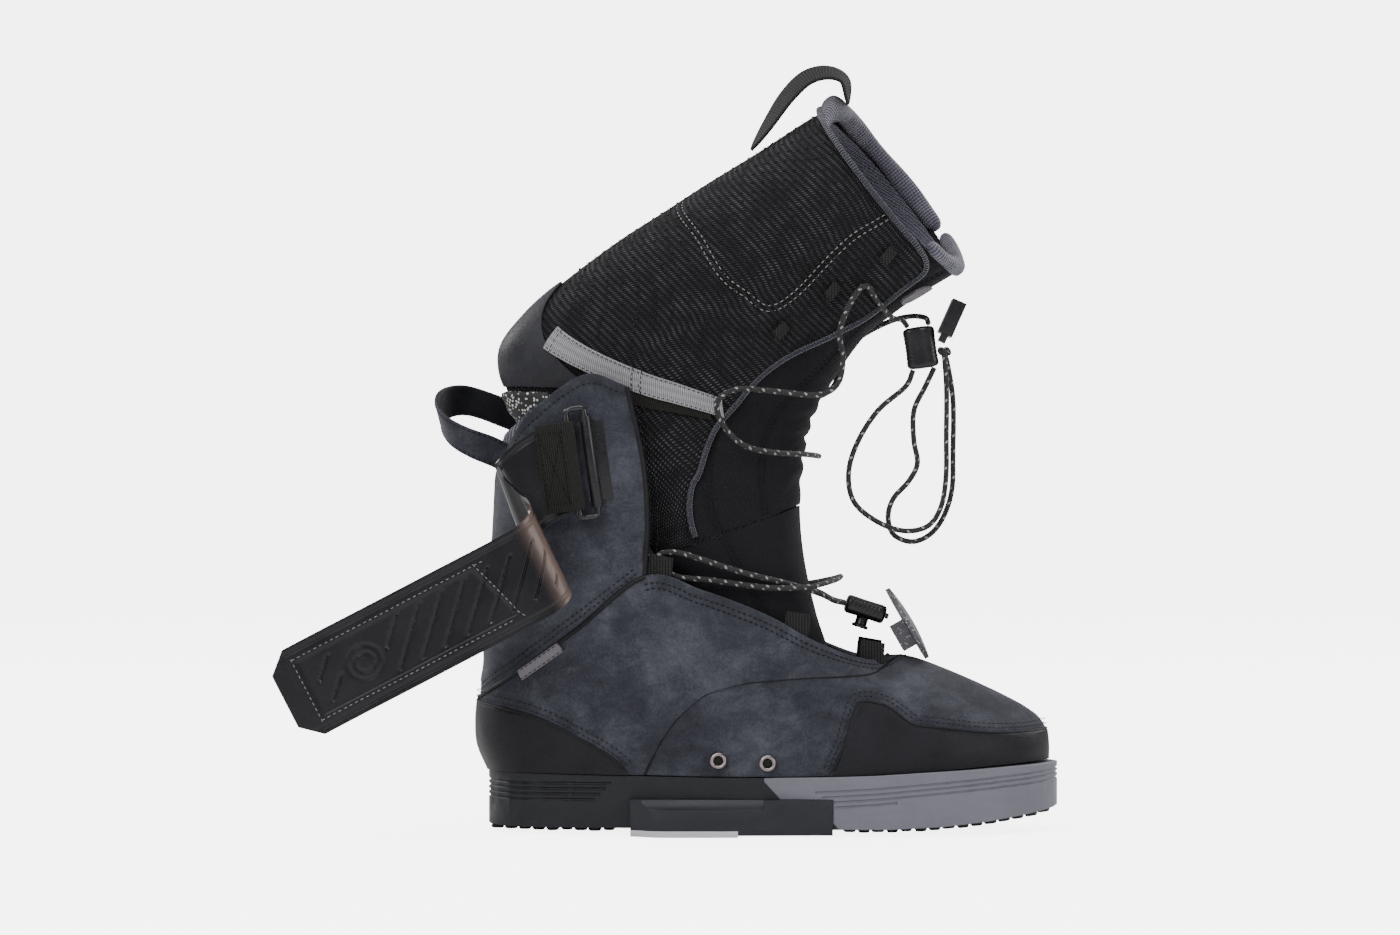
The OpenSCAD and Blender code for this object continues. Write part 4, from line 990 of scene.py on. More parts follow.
def buildRands():
    cfg = {"pinch": 0.00045, "groove": 0.0011, "rim": 0.10, "dip": 0.0006, "thick": 0.0022, "edge": 0.0005,
           "margin": 0.06}
    capFrom, capTo, counterTo = shellCfg["capFrom"], 2 * toeStation - shellCfg["capFrom"], shellCfg["counterTo"]
    stand = shellCfg["randGap"] + shellCfg["rand"] - 0.0009
    # name, node, upper line and its marks, rows of stitches and their points, the sheet, the edge cord's radius
    rands = [("toeCap", "toe_cap", capLine, (capFrom + cfg["margin"], capTo - cfg["margin"], 60),
              (-0.0026, -0.0052), 420,
              (capFrom, capTo, 420), 46, 0.0007),
             ("heelCounter", "heel_counter", counterLine, (-3.7, 3.7, 40), (-0.0026, -0.0056), 300,
              (-counterTo, counterTo, 260), 60, 0.0008)]
    for name, node, line, span, offsets, count, sheet, high, cord in rands:
        marks = [(a, line(a)) for a in np.linspace(*span)]
        rows = [shifted(lowerSurface, marks, by, stand, count) for by in offsets]

        def lift(a, v, p, line=line, rows=rows):
            top = np.array([line(x) for x in a])
            rim = smooth((top - v) / cfg["rim"])
            return stand - cfg["dip"] * (1 - rim) - cfg["pinch"] * nearness(p, rows, cfg["groove"])

        piece = panel(name, [patch(lowerSurface, *sheet, 0.0, line, high, lift)], cfg["thick"], cfg["edge"])
        place(piece, "shell", "rand", randLeather, node)
        shellStitches.extend(rows)
        shellPiping.append((lineOn(lowerSurface, marks, 0.0010, count), cord))


def buildCuff():
    front = [(4 - 0.06, v) for v in np.linspace(0.1, 2.95, 16)]
    rows = []
    for side in (-1, 1):
        line = [(side * a, v) for a, v in front]
        rows += [shifted(cuffSurface, line, side * by, 0.0) for by in (0.0040, 0.0075)]
        hem = [(side * a, 2.93) for a in np.linspace(0.1, 3.9, 16)]
        rows.append(shifted(cuffSurface, hem, side * 0.0022, 0.0, 120))
        sole = [(side * a, 0.03) for a in np.linspace(0.05, 3.9, 16)]
        rows += [shifted(cuffSurface, sole, -side * by, 0.0, 120) for by in (0.0026, 0.0054)]

    def relief(a, v, p):
        swell = 0.0009 * smooth(v / 0.4) * smooth((3 - v) / 0.25) * smooth((4 - np.abs(a)) / 0.5)
        # soft folds across the ankle and a dent where the ring's foot is sewn on
        folds = 0.0007 * np.sin(p[:, 2] * 210 + p[:, 0] * 60) * smooth((1.1 - v) / 0.8) * smooth(v / 0.3)
        return swell + folds - 0.0006 * nearness(p, rows, 0.0022)

    cuff = panel("cuff", [patch(cuffSurface, -4.0, 4.0, 280, 0.0, 3.0, 96, relief)], 0.003, 0.0011)
    place(cuff, "shell", "suede", suede, "cuff_near", "cuff_far")
    shellStitches.extend([line + unit(line * [0, 1, 0]) * 0.0007 for line in rows])
    for side in (-1, 1):
        border = [(side * 3.985, v) for v in np.linspace(0.02, 2.98, 14)]
        shellPiping.append((lineOn(cuffSurface, border, -0.0012, 100), 0.0017))


def buildCollarLining():
    def lift(a, v, p):
        ribs = 0.00045 * np.sin(a * 2 * math.pi / 0.052)
        rim = 0.0012 * smooth((v - 2.3) / 0.5) * smooth((3 - v) / 0.1)
        return -0.0046 + rim + ribs * smooth((v - 1.2) / 0.4)

    lining = panel("collarLining", [patch(liningSurface, -3.9, 3.9, 600, 0.35, 2.97, 34, lift)], 0.0022, 0.0007)
    place(lining, "shell", "fleece", fleece, "collar_lining")


buildUppers()
buildRands()
buildCuff()
buildCollarLining()
print("suede panels, rands, cuff and lining ready")


# sole, chassis and eyelets
soleGrow = [mix(0.5, 6, float(smooth((x - 3) / 8))) for x in range(toeStation + 1)]


def soleEdge(a):
    # point on the sole's outline and its outward direction, at signed stations a
    a = np.atleast_1d(np.asarray(a, float))
    p = lowerSurface(a, 0.0)
    n = normalsOf(lowerSurface, a, np.full(len(a), 0.05))
    n[:, 2] = 0
    n = unit(n)
    grow = onCurve(np.stack([soleGrow, np.zeros(14)], 1), np.abs(a))[:, 0] * mm
    return p + n * grow[:, None], n


def soleTop(x):
    profile = np.array([[-150, 33.6], [-110, 33.3], [-60, 32.3], [-14, 31.5], [20, 31.5], [50, 32.1],
                        [80, 33.1], [105, 34.5], [128, 35.6], [150, 36.8], [200, 38.6]]) * mm
    return np.interp(x, profile[:, 0], profile[:, 1])


def boxCloth(obj):
    # cloth coordinates by projecting each face along its main direction
    mesh = obj.data
    layer = mesh.uv_layers.get("cloth") or mesh.uv_layers.new(name="cloth")
    for face in mesh.polygons:
        main = max(range(3), key=lambda k: abs(face.normal[k]))
        across, along = [(1, 2), (0, 2), (0, 1)][main]
        for corner in face.loop_indices:
            co = mesh.vertices[mesh.loops[corner].vertex_index].co
            layer.data[corner].uv = (co[across], co[along])
    mesh.uv_layers.active = layer
    return obj


def levelNormals(obj):
    # large faces keep their own direction, so thin neighbours don't shade them
    modifier = obj.modifiers.new("weighted", "WEIGHTED_NORMAL")
    modifier.weight, modifier.keep_sharp = 80, True
    return bake(obj)


def carve(obj, cutters):
    # cuts tubes out of a piece and keeps a plain mesh
    for cutter in cutters:
        modifier = obj.modifiers.new("cut", "BOOLEAN")
        modifier.operation, modifier.solver, modifier.object = "DIFFERENCE", "EXACT", cutter
    bake(obj)
    for cutter in cutters:
        bpy.data.objects.remove(cutter)
    soften(obj, 28)
    return levelNormals(obj)


def chamferTop(obj, width):
    # slopes the outer rim at the top of a sole
    bm = bmesh.new()
    bm.from_mesh(obj.data)
    rim = []
    for e in bm.edges:
        if len(e.link_faces) != 2 or e.calc_face_angle(0) < math.radians(50):
            continue
        mid = (e.verts[0].co + e.verts[1].co) / 2
        ups = sorted(f.normal.z for f in e.link_faces)
        if abs(mid.z - soleTop(mid.x)) < 0.0012 and ups[1] > 0.8 and abs(ups[0]) < 0.4:
            rim.append(e)
    bmesh.ops.bevel(bm, geom=rim, offset=width, offset_type="WIDTH", segments=1, profile=0.5, affect="EDGES",
                    clamp_overlap=True)
    bm.to_mesh(obj.data)
    bm.free()
    return obj


def buildSole():
    cfg = {"rearGrooves": [28.0, 25.1, 22.2, 19.3], "rearFrom": 3.55, "grooveDepth": 0.0006,
           "frontGrooves": [(46.6, 8.1, 3.5, 13.0), (50.1, 10.9, 5.9, 13.0), (53.6, 13.6, 8.7, 13.0),
                            (57.2, 16.4, 15.2, 8.4)]}
    rear = chamferTop(cadCopy("outsoleRear", "outsole_rear", 0.0004, 60, 1, 0.1), 0.0016)
    cutters = []
    for i, z in enumerate(cfg["rearGrooves"]):
        reach = cfg["rearFrom"] - 0.07 * i
        edge, out = soleEdge(np.linspace(-reach, reach, 140))
        path = edge + out * (0.00055 - cfg["grooveDepth"])
        path[:, 2] = z * mm
        cutters.append(sweep("cut", path, 0.0009, sides=8))
    place(carve(rear, cutters), "shell", "black_rubber", soleBlack, "outsole_rear")
    front = chamferTop(cadCopy("outsoleFront", "outsole_front", 0.0004, 60, 1, 0.1), 0.0034)
    cutters = []
    for x0, drop0, drop1, last in cfg["frontGrooves"]:
        stations = np.linspace(6.0, 13.0, 400)
        edge, out = soleEdge(stations)
        keep = (edge[:, 0] > x0 * mm) & (stations <= last)
        edge, out = edge[keep], out[keep]
        f = np.linspace(0, 1, len(edge))
        path = edge + out * (0.0005 - cfg["grooveDepth"])
        path[:, 2] = soleTop(edge[:, 0]) - mix(drop0, drop1, f) * mm
        if last > 12.9:
            path = np.vstack([path, (path * [1, -1, 1])[::-1][1:]])
            cutters.append(sweep("cut", resample(path, count=260), 0.00075, sides=8))
        else:
            cutters += [sweep("cut", resample(path * [1, s, 1], count=60), 0.00075, sides=8) for s in (-1, 1)]
    place(carve(front, cutters), "shell", "grey_foam", soleGrey, "outsole_front")
    place(cadCopy("chassisPlate", "chassis", 0.0011, 32, 3), "shell", "black_plastic", chassisPlastic, "chassis")
    place(cadCopy("basePad", "chassis_base_pad", 0.0005), "shell", "pale_plastic", palePlastic,
          "chassis_base_pad")
    place(cadCopy("chassisScrews", "chassis_screws", 0.0003), "shell", "steel", steel, "chassis_screws")
    place(boxCloth(cadCopy("insoleBoard", "insole_board", 0.0004)), "shell", "board", boardFibre, "insole_board")


def buildTread():
    # rubber lugs under the heel and the forefoot, left out under the chassis
    cfg = {"pitch": 0.0088, "inset": 0.006, "radius": 0.0036, "height": 0.0016}
    bottom = np.array([[-150, 4], [85, 4], [115, 5.2], [140, 7.6], [160, 10.3], [200, 16.5]]) * mm
    rim, _ = soleEdge(np.linspace(0, 13, 200))
    points, facing = [], []
    for i, x in enumerate(np.arange(-0.126, 0.174, cfg["pitch"] * 0.87)):
        if -0.060 < x < 0.064:
            continue
        half = np.interp(x, rim[:, 0], rim[:, 1]) - cfg["inset"]
        for y in np.arange(-0.066 + (i % 2) * cfg["pitch"] / 2, 0.066, cfg["pitch"]):
            if abs(y) < half:
                z = np.interp(x, bottom[:, 0], bottom[:, 1])
                slope = (np.interp(x + 0.002, bottom[:, 0], bottom[:, 1]) - z) / 0.002
                points.append((x, y, z - cfg["height"] * 0.3))
                facing.append(tuple(unit(np.array([slope, 0, -1.0]))))
    lugs = onPoints("treadLugs", studs, points, facing, soleBlack, radius=cfg["radius"], height=cfg["height"],
                    sides=6)
    place(lugs, "shell", "black_rubber", soleBlack)


def spun(name, profile, spots, turns=40):
    # a turned profile of (radius, height) repeated at spots of (centre, outward direction)
    points, faces, start = [], [], 0
    q = np.linspace(0, 2 * math.pi, turns + 1)
    profile = np.array(profile, float)
    for centre, out in spots:
        out = unit(np.array(out, float))
        side = unit(np.cross(out, [0, 0, 1.0] if abs(out[2]) < 0.9 else [1.0, 0, 0]))
        other = np.cross(out, side)
        ring = np.cos(q)[:, None] * side + np.sin(q)[:, None] * other
        grid = np.array(centre) + ring[:, None] * profile[None, :, 0, None] + out * profile[None, :, 1, None]
        points.append(grid.reshape(-1, 3))
        faces.append(gridFaces(len(q), len(profile), start))
        start += grid.shape[0] * grid.shape[1]
    return addMesh(name, np.concatenate(points), np.concatenate(faces), merge=1e-6)


def buildEyelets():
    cfg = {"outer": 0.0046, "hole": 0.0024, "roll": 0.0011, "stations": (5.25, 6.03)}
    spots = []
    for side in (-1, 1):
        for a in cfg["stations"]:
            p = lowerSurface(side * a, 0.25)[0]
            spots.append((p + np.array([0, side * 0.0009, 0.0005]), (0, side, 0.05)))
    middle = (cfg["outer"] + cfg["hole"]) / 2
    wide = (cfg["outer"] - cfg["hole"]) / 2
    q = np.linspace(0, 2 * math.pi, 17)
    profile = [(middle + wide * math.cos(t), cfg["roll"] * 0.4 + cfg["roll"] * math.sin(t)) for t in q]
    place(spun("drainEyelets", profile, spots), "shell", "gunmetal", gunmetal, "drain_eyelets")
    # near-black discs at the eyelets' centres: painted shade inside the drain holes
    centres, facing = [p + np.array(n) * 0.0001 for p, n in spots], [n for _, n in spots]
    holeShadeDiscs = onPoints("eyeletHoleShade", studs, centres, facing, holeShade, radius=cfg["hole"] * 1.05, height=0.0008,
                     sides=24)
    place(holeShadeDiscs, "shell", "black_plastic", holeShade)


buildSole()
buildTread()
buildEyelets()
print("sole, chassis and eyelets ready")


# ribbons: heel loop, label, ring and strap
def ribbonFrame(stations, t):
    # centre, tangent, direction across and face at t, from (centre, across) stations
    centre, across = onCurve(stations[:, 0], t), unit(onCurve(stations[:, 1], t))
    tangent = unit(np.gradient(centre, axis=0))
    return centre, tangent, across, unit(np.cross(across, tangent))


def ribbon(name, stations, width, dOut, dIn, count, corner=0.4):
    # flat band between two heights along its face
    centre, tangent, across, face = ribbonFrame(stations, np.linspace(0, len(stations) - 1, count))
    section = ribbonSection(width, abs(dOut - dIn), corner)
    return sweep(name, centre + face * (dOut + dIn) / 2, 1.0, section=section, frame3=(tangent, across, face))


def edgeLines(stations, width, inset, height, count):
    # two sewing lines just inside a ribbon's edges, on its outer face
    centre, _, across, face = ribbonFrame(stations, np.linspace(0, len(stations) - 1, count))
    return [centre + across * s * (width / 2 - inset) + face * height for s in (-1, 1)]


def buildHeelLoop():
    cfg = {"width": 0.017, "stations": [[[-119, -24, 203], [0, -0.1, 1]], [[-127, -26, 207], [0, -0.1, 1]],
                                        [[-139, -28, 212], [-0.1, -0.15, 1]],
                                        [[-151, -21, 219], [-0.2, -0.25, 1]],
                                        [[-157, -5, 227], [-0.25, -0.2, 1]],
                                        [[-155, 10, 234], [-0.2, -0.1, 1]], [[-144, 21, 236], [-0.1, 0, 1]],
                                        [[-126, 27, 230], [0, 0, 1]], [[-117, 29, 226], [0, 0, 1]]]}
    st = np.array(cfg["stations"], float)
    st[:, 0] *= mm
    place(ribbon("heelLoop", st, cfg["width"], 0.0022, 0.0008, 120), "shell", "suede", suede, "heel_pull_loop")
    place(ribbon("heelLoopLining", st, cfg["width"] - 0.001, 0.0009, 0.0, 120), "shell", "rand", randLeather)
    shellStitches.extend(edgeLines(st, cfg["width"], 0.0016, 0.0023, 160))


def buildLabel():
    line = lineOn(lowerSurface, [(-2.02, 2.80), (-2.4, 2.83), (-2.76, 2.85)], 0.0020, 30)
    t = unit(np.gradient(line, axis=0))
    out = normalsOf(lowerSurface, np.linspace(-2.02, -2.76, 30), np.linspace(2.80, 2.85, 30))
    side = unit(np.cross(t, out))
    label = sweep("sideLabel", line, 1.0, section=ribbonSection(0.0058, 0.0007, 0.3), frame3=(t, side, out))
    place(label, "shell", "label", labelCloth, "side_label")
    shellStitches.extend(line + side * by + out * 0.0004 for by in (0.0022, -0.0022))


ringAt, ringLean = np.array([-73.8, -57.1, 202]) * mm, math.radians(8)


def onRing(p):
    # from the ring's own frame, its front leg at the origin, to its place on the cuff
    p = np.asarray(p, float)
    c, s = math.cos(ringLean), math.sin(ringLean)
    return np.stack([p[..., 0] * c - p[..., 2] * s, p[..., 1], p[..., 0] * s + p[..., 2] * c], -1)


def buildRing():
    cfg = {"wire": 0.003, "gap": 0.010, "half": 0.027, "corner": 0.0025}
    r, w, h = cfg["corner"], cfg["gap"], cfg["half"]
    path = []
    for cx, cz, q0 in ((-r, h, 0), (-w + r, h, 90), (-w + r, -h, 180), (-r, -h, 270)):
        for q in np.radians(np.linspace(q0, q0 + 90, 9)):
            path.append((cx + r * math.cos(q), 0, cz + r * math.sin(q)))
    path = np.array(path + [path[0]])
    loop = resample(path, count=161)[:-1]
    ring = sweep("strapRing", ringAt + onRing(loop), cfg["wire"] / 2, sides=20, closed=True)
    place(ring, "ring", "black_steel", blackSteel, "strap_ring")
    place(cadCopy("ringSleeve", "ring_sleeve", 0.0004, 40), "shell", "black_plastic", lockPlastic, "ring_sleeve")


strapStations = np.array([[[-13.5, -4.5, -1], [0, 0, 1]], [[-27, -5.5, -5], [-0.08, 0, 1]],
                          [[-38, -6, -11], [-0.14, 0, 1]], [[-45, -10, -18], [-0.2, 0.05, 1]],
                          [[-42, -16, -25], [-0.24, 0.1, 1]], [[-36, -20, -32], [-0.27, 0.1, 1]],
                          [[-30, -24, -39], [-0.3, 0.05, 1]], [[-28, -30, -46], [-0.32, 0, 1]],
                          [[-35, -34.5, -52], [-0.34, -0.02, 1]], [[-48, -36, -57.5], [-0.35, 0, 1]],
                          [[-79, -37, -68.5], [-0.35, 0, 1]], [[-114, -38, -81], [-0.35, 0, 1]],
                          [[-148, -39, -93], [-0.35, 0, 1]], [[-177, -40, -103.5], [-0.35, 0, 1]]], float)
strapStations[:, 0] *= mm


def strapFrame(t):
    # centre, across and outward face of the strap at stations t, in place
    centre, _, across, face = ribbonFrame(strapStations, t)
    return ringAt + onRing(centre), onRing(across), onRing(face)


def buildStrap():
    cfg = {"width": 0.050, "thick": 0.0022, "cut": 0.011, "slotPitch": 0.0135, "slotHalf": 0.0010,
           "slotDepth": 0.0011,
           "panelHalf": 0.0165, "panelDepth": 0.0004, "emblem": 0.0092}
    n, m = 430, 76
    t = np.linspace(0, 13, n)
    c, x, z = strapFrame(t)
    run = runOf(c)
    total = run[-1]
    left = total - run
    # the far end has both corners cut off and slightly rounded
    half = cfg["width"] / 2 - np.clip(cfg["cut"] - left, 0, None) * 0.9
    w = np.linspace(-1, 1, m)
    across = half[:, None] * w
    # the side of the strap that looks outwards from the boot
    shown = -1 if z[-60][1] > 0 else 1
    face = z * shown
    s, y = np.repeat(left[:, None], m, 1), across
    # ends of the sewn inset panel, measured from the far end
    start, stop = 0.014, 0.126
    inside = smooth((cfg["panelHalf"] - np.abs(y)) / 0.0012)
    inPanel = smooth((s - start) / 0.0012) * smooth((stop - 0.35 * y - s) / 0.0012) * inside
    lean = s - y * shown * 0.95
    slots = np.exp(-((np.mod(lean, cfg["slotPitch"]) - cfg["slotPitch"] / 2) / cfg["slotHalf"]) ** 4)
    slotReach = smooth((cfg["panelHalf"] - 0.0025 - np.abs(y)) / 0.001)
    slotZone = smooth((s - 0.060) / 0.002) * smooth((0.160 - s) / 0.002) * slotReach
    tipSlots = smooth((s - 0.020) / 0.002) * smooth((0.034 - s) / 0.002) * smooth((0.012 - np.abs(y)) / 0.001)
    spot = np.hypot(s - 0.047, y + 0.001)
    rings = ((cfg["emblem"], 0.0007), (cfg["emblem"] * 0.55, 0.0006))
    emblem = sum(np.exp(-((spot - radius) / width) ** 2) for radius, width in rings)
    carved = cfg["slotDepth"] * slots * np.maximum(slotZone, tipSlots)
    relief = -cfg["panelDepth"] * inPanel - carved - 0.0004 * emblem
    rim = 0.0004 * np.exp(-((np.abs(y) - cfg["width"] / 2 + 0.0035) / 0.0009) ** 2)
    base = c[:, None] + x[:, None] * across[..., None]
    front = base + face[:, None] * (cfg["thick"] / 2 + (relief - rim))[..., None]
    back = base - face[:, None] * (cfg["thick"] / 2)
    cover = shellFromGrids("strapCover", front, back, edge=0.0005)
    place(cover, "strap", "strap_plastic", strapPlastic, "strap_cover")
    pick = (left > start - 0.001) & (left < stop)
    lines = [c[pick] + x[pick] * (k * (cfg["panelHalf"] + 0.0012)) + face[pick] * 0.0012 for k in (-1, 1)]
    ends = []
    for at, slope in ((start - 0.001, 0.0), (stop + 0.001, -0.35)):
        line = []
        for k in np.linspace(-1, 1, 24):
            i = int(np.argmin(np.abs(left - (at + slope * k * cfg["panelHalf"]))))
            line.append(c[i] + x[i] * k * (cfg["panelHalf"] + 0.0012) + face[i] * 0.0012)
        ends.append(np.array(line))
    sew("strapStitches", lines + ends, "strap", paleThread, pitch=0.0032, stitch=0.0019, thread=0.00055)
    k = slice(int(n * 9 / 13), int(n * 12 / 13))
    columns = (np.linspace(-1, 1, 24) * 0.020)[None, :, None]
    grid = lambda d: c[k, None] + x[k, None] * columns + (z[k] * d)[:, None]
    pad = shellFromGrids("strapBacking", grid(-0.0016), grid(-0.0032), edge=0.0004)
    place(pad, "strap", "webbing", hookCloth, "strap_backing")
    buildStrapWebbing()


def buildStrapWebbing():
    # webbing wrapped round the ring's rear leg and sewn down over the start of the cover
    cfg = {"width": 0.048, "thick": 0.0014,
           "path": [(-27.5, -7.8), (-22, -7.8), (-16, -7.7), (-11.5, -6.9), (-8.6, -4.6), (-7.4, -1.9),
                    (-7.5, 0.6), (-8.8, 2.1), (-10.6, 2.3), (-12.0, 1.2), (-12.5, -0.6)]}
    line = smoothLine([(x, y, 0) for x, y in cfg["path"]], 90) * mm + [0, 0, -0.001]
    t = unit(np.gradient(line, axis=0))
    up = np.repeat([[0, 0, 1.0]], len(line), 0)
    out = np.cross(up, t)
    piece = sweep("strapWebbing", ringAt + onRing(line), 1.0,
                  section=ribbonSection(cfg["width"], cfg["thick"], 0.35),
                  frame3=(onRing(t), onRing(up), onRing(out)))
    place(piece, "strap", "webbing", hookCloth, "strap_webbing")
    y, lines = -0.0086, []
    box = [(-26, 18), (-14, 18), (-14, -20), (-26, -20), (-26, 18)]
    for a, b in list(zip(box, box[1:])) + [((-26, 18), (-14, -20)), ((-14, 18), (-26, -20))]:
        lines.append(ringAt + onRing(resample([(a[0] * mm, y, a[1] * mm), (b[0] * mm, y, b[1] * mm)], count=20)))
    sew("webbingStitches", lines, "strap", blackThread, pitch=0.0026, stitch=0.0019, thread=0.0006)


buildHeelLoop()
buildLabel()
buildRing()
buildStrap()
print("heel loop, label, ring and strap ready")


# laces, guides, locks and handles
lowerRoute = [[64, -6.3, 124.5], [58, -14, 126], [50, -25, 130], [32, -38, 136], [8, -44, 142],
              [-14, -44.5, 149], [-28, -45, 153], [-37, -45.5, 152], [-39, -45.5, 147], [-28, -44.5, 140],
              [-10, -44, 138], [20, -43.5, 134], [42, -39, 134], [57, -21, 137], [62, 0, 139]]
upperRoute = [[98, -10, 276.2], [95, -14, 279.5], [89, -19, 281], [81, -33, 289], [74, -43, 297],
              [66, -46, 288], [60, -46, 272], [62, -42, 258], [59, -43, 244], [48, -46, 238], [24, -48, 240],
              [4, -48, 241], [-6, -48, 234], [-3, -46.5, 222], [8, -44.5, 211], [24, -39, 207],
              [43, -23, 206], [50, 0, 205], [43, 23, 206], [24, 39, 207], [8, 44.5, 211], [-3, 46.5, 222],
              [-6, 48, 234], [4, 48, 241], [24, 48, 240], [48, 46, 238], [59, 43, 244], [64, 41, 258],
              [72, 34, 270], [88, 18, 279], [100, 4, 282], [108, -6, 281], [109.7, -10, 277.8]]
lacingCfg = {"lace": 0.003, "lock": (0.023, 0.018, 0.011), "cordY": 0.0059}


def knot(name, at, size, body):
    # a small overhand knot of the lace
    t = np.linspace(0, 2 * math.pi, 121)[:-1]
    line = np.stack([np.sin(t) + 2 * np.sin(2 * t), np.cos(t) - 2 * np.cos(2 * t), -1.3 * np.sin(3 * t)], 1)
    line = line * size / 6
    piece = sweep(name, np.array(at) + line, size * 0.19, sides=10, closed=True)
    return place(piece, body, "lace", lace)


def rooted(obj, depth):
    # draws the lower half of each guide down into the edge that it is sewn to
    bm = bmesh.new()
    bm.from_mesh(obj.data)
    left = set(bm.verts)
    while left:
        island, front = set(), [left.pop()]
        while front:
            v = front.pop()
            island.add(v)
            for e in v.link_edges:
                other = e.other_vert(v)
                if other in left:
                    left.discard(other)
                    front.append(other)
        heights = [v.co.z for v in island]
        middle = (min(heights) + max(heights)) / 2
        for v in island:
            if v.co.z < middle:
                v.co.z -= depth
    bm.to_mesh(obj.data)
    bm.free()
    return obj


def buildLaces():
    half = np.array(lowerRoute, float)
    route = np.vstack([half, (half * [1, -1, 1])[::-1][1:]]) * mm
    place(sweep("lowerLace", smoothLine(route, 620), lacingCfg["lace"] / 2, sides=12), "shell", "lace", lace,
          "lower_lace")
    place(sweep("upperLace", smoothLine(np.array(upperRoute) * mm, 760), lacingCfg["lace"] / 2, sides=12),
          "liner", "lace", lace,
          "upper_lace")
    place(boxCloth(rooted(cadCopy("lowerLaceGuides", "lower_lace_guides", 0.0009, 40, 3), 0.0040)), "shell",
          "webbing", webbing, "lower_lace_guides")
    place(boxCloth(cadCopy("linerLaceGuides", "liner_lace_guides", 0.0009, 40, 3)), "liner", "webbing", webbing,
          "liner_lace_guides")


def inLock(at, lean, upper):
    # turns a lock's own frame, cords along X and button along Z, into its place
    def turn(p):
        p = np.asarray(p, float)
        if upper:
            p = np.stack([p[..., 0], p[..., 2], -p[..., 1]], -1)
        else:
            p = p * [1, -1, -1]
        c, s = math.cos(lean), math.sin(lean)
        return np.array(at) + np.stack([p[..., 0] * c + p[..., 2] * s, p[..., 1], -p[..., 0] * s + p[..., 2] * c],
                                       -1)
    return turn


lowerLock = inLock((0.0755, 0, 0.121), math.radians(18), False)
upperLock = inLock((0.1055, -0.010, 0.2645), math.radians(82), True)


def buildLockBody(name, turn, body, node):
    # two barrels round the cords, joined by a waisted bridge with grip ribs
    length, width, height = lacingCfg["lock"]
    nu, nv = 70, 72
    t = np.linspace(-1, 1, nu)
    q = np.linspace(0, 2 * math.pi, nv)
    swell = (1 - np.abs(t) ** 12) ** 0.28 * (0.94 + 0.06 * t ** 2)
    ribs = 1 - 0.018 * (np.cos(t * 34) > 0.2) * (np.abs(t) < 0.62)
    e = 0.62
    y = squarish(np.cos(q), e) * width / 2
    z = squarish(np.sin(q), e) * height / 2
    waist = 1 - 0.20 * np.exp(-(y / 0.0028) ** 2)
    k = np.clip(swell, 0.35, 1)[:, None]
    grid = np.stack([np.repeat((t * length / 2)[:, None], nv, 1), y * k * ribs[:, None], z * waist * k], -1)
    obj = addMesh(name, turn(grid).reshape(-1, 3), tubeFaces(nu, nv), merge=1e-6)
    return place(obj, body, "lock_plastic", lockPlastic, node)


def buildLocks():
    buildLockBody("lowerLockBody", lowerLock, "shell", "lower_lock_body")
    buildLockBody("upperLockBody", upperLock, "liner", "upper_lock_body")
    for word, body, host in (("lower", "lower_button", "shell"), ("upper", "upper_button", "liner")):
        place(cadCopy(word + "LockButton", word + "_lock_button", 0.0005), body, "lock_plastic", lockPlastic,
              word + "_lock_button")
        place(cadCopy(word + "LockSpring", word + "_lock_spring", 0.0002), host, "steel", steel,
              word + "_lock_spring")
    place(cadCopy("lowerPullHandle", "lower_pull_handle", 0.0005, 28, 3), "lower_handle", "speckled_plastic",
          speckled, "lower_pull_handle")
    place(boxCloth(cadCopy("lowerHandleCord", "lower_handle_cord", 0.0003)), "shell", "lace", lace,
          "lower_handle_cord")
    place(cadCopy("upperPullHandle", "upper_pull_handle", 0.0012, 30, 3), "upper_handle", "lock_plastic",
          lockPlastic, "upper_pull_handle")
    knot("upperKnot", (0.1185, -0.010, 0.2625), 0.0060, "liner")


buildLaces()
buildLocks()
print("laces, guides, locks and handles ready")


# padded liner
linerCfg = {"wall": 0.0047,
            "eyestay": [(5.0, 7.9), (5.49, 8.25), (6.29, 9.22), (7.26, 10.4), (8.16, 11.62), (9.81, 12.9),
                        (10.66, 14.05), (11.48, 14.75), (12.6, 14.75), (13.73, 14.5), (14.9, 14.3),
                        (15.5, 13.95), (15.85, 13.3), (16.0, 12.4)],
            "yoke": [(1.55, 13.03), (5.75, 12.53), (9.1, 11.56), (10.6, 11.18), (10.77, 12.03), (9.97, 14.1),
                     (9.95, 16.0)],
            "tongueSeam": [(10.4, 7.26), (9.35, 6.07), (9.03, 5.39), (9.15, 4.52), (9.45, 3.47)],
            "frontSeam": [(15.6, 15.9), (15.3, 13.5), (15.5, 11.0), (14.9, 9.2), (13.2, 7.4), (12.2, 6.0),
                          (12.0, 5.1)]}


def eyestayEdge(kk):
    marks = np.array(linerCfg["eyestay"])
    fine = np.linspace(0, len(marks) - 1, 200)
    curve = onCurve(np.column_stack([marks, np.zeros(len(marks))]), fine)
    return np.interp(kk, curve[:, 0], curve[:, 1])


def linerAt(q, kk, d):
    # points at a height d off the liner's surface, for grids of q and kk
    q, kk, d = np.broadcast_arrays(np.asarray(q, float), np.asarray(kk, float), np.asarray(d, float))
    flatQ, flatK = q.ravel(), kk.ravel()
    points = linerSurface(flatQ, flatK) + normalsOf(linerSurface, flatQ, flatK) * d.reshape(-1, 1)
    return points.reshape(q.shape + (3,))


def linerLine(marks, d, count=160, side=-1):
    marks = np.array(marks, float)
    run = onCurve(np.column_stack([marks, np.zeros(len(marks))]), np.linspace(0, len(marks) - 1, count))
    return linerAt(run[:, 0] * side, run[:, 1], d)


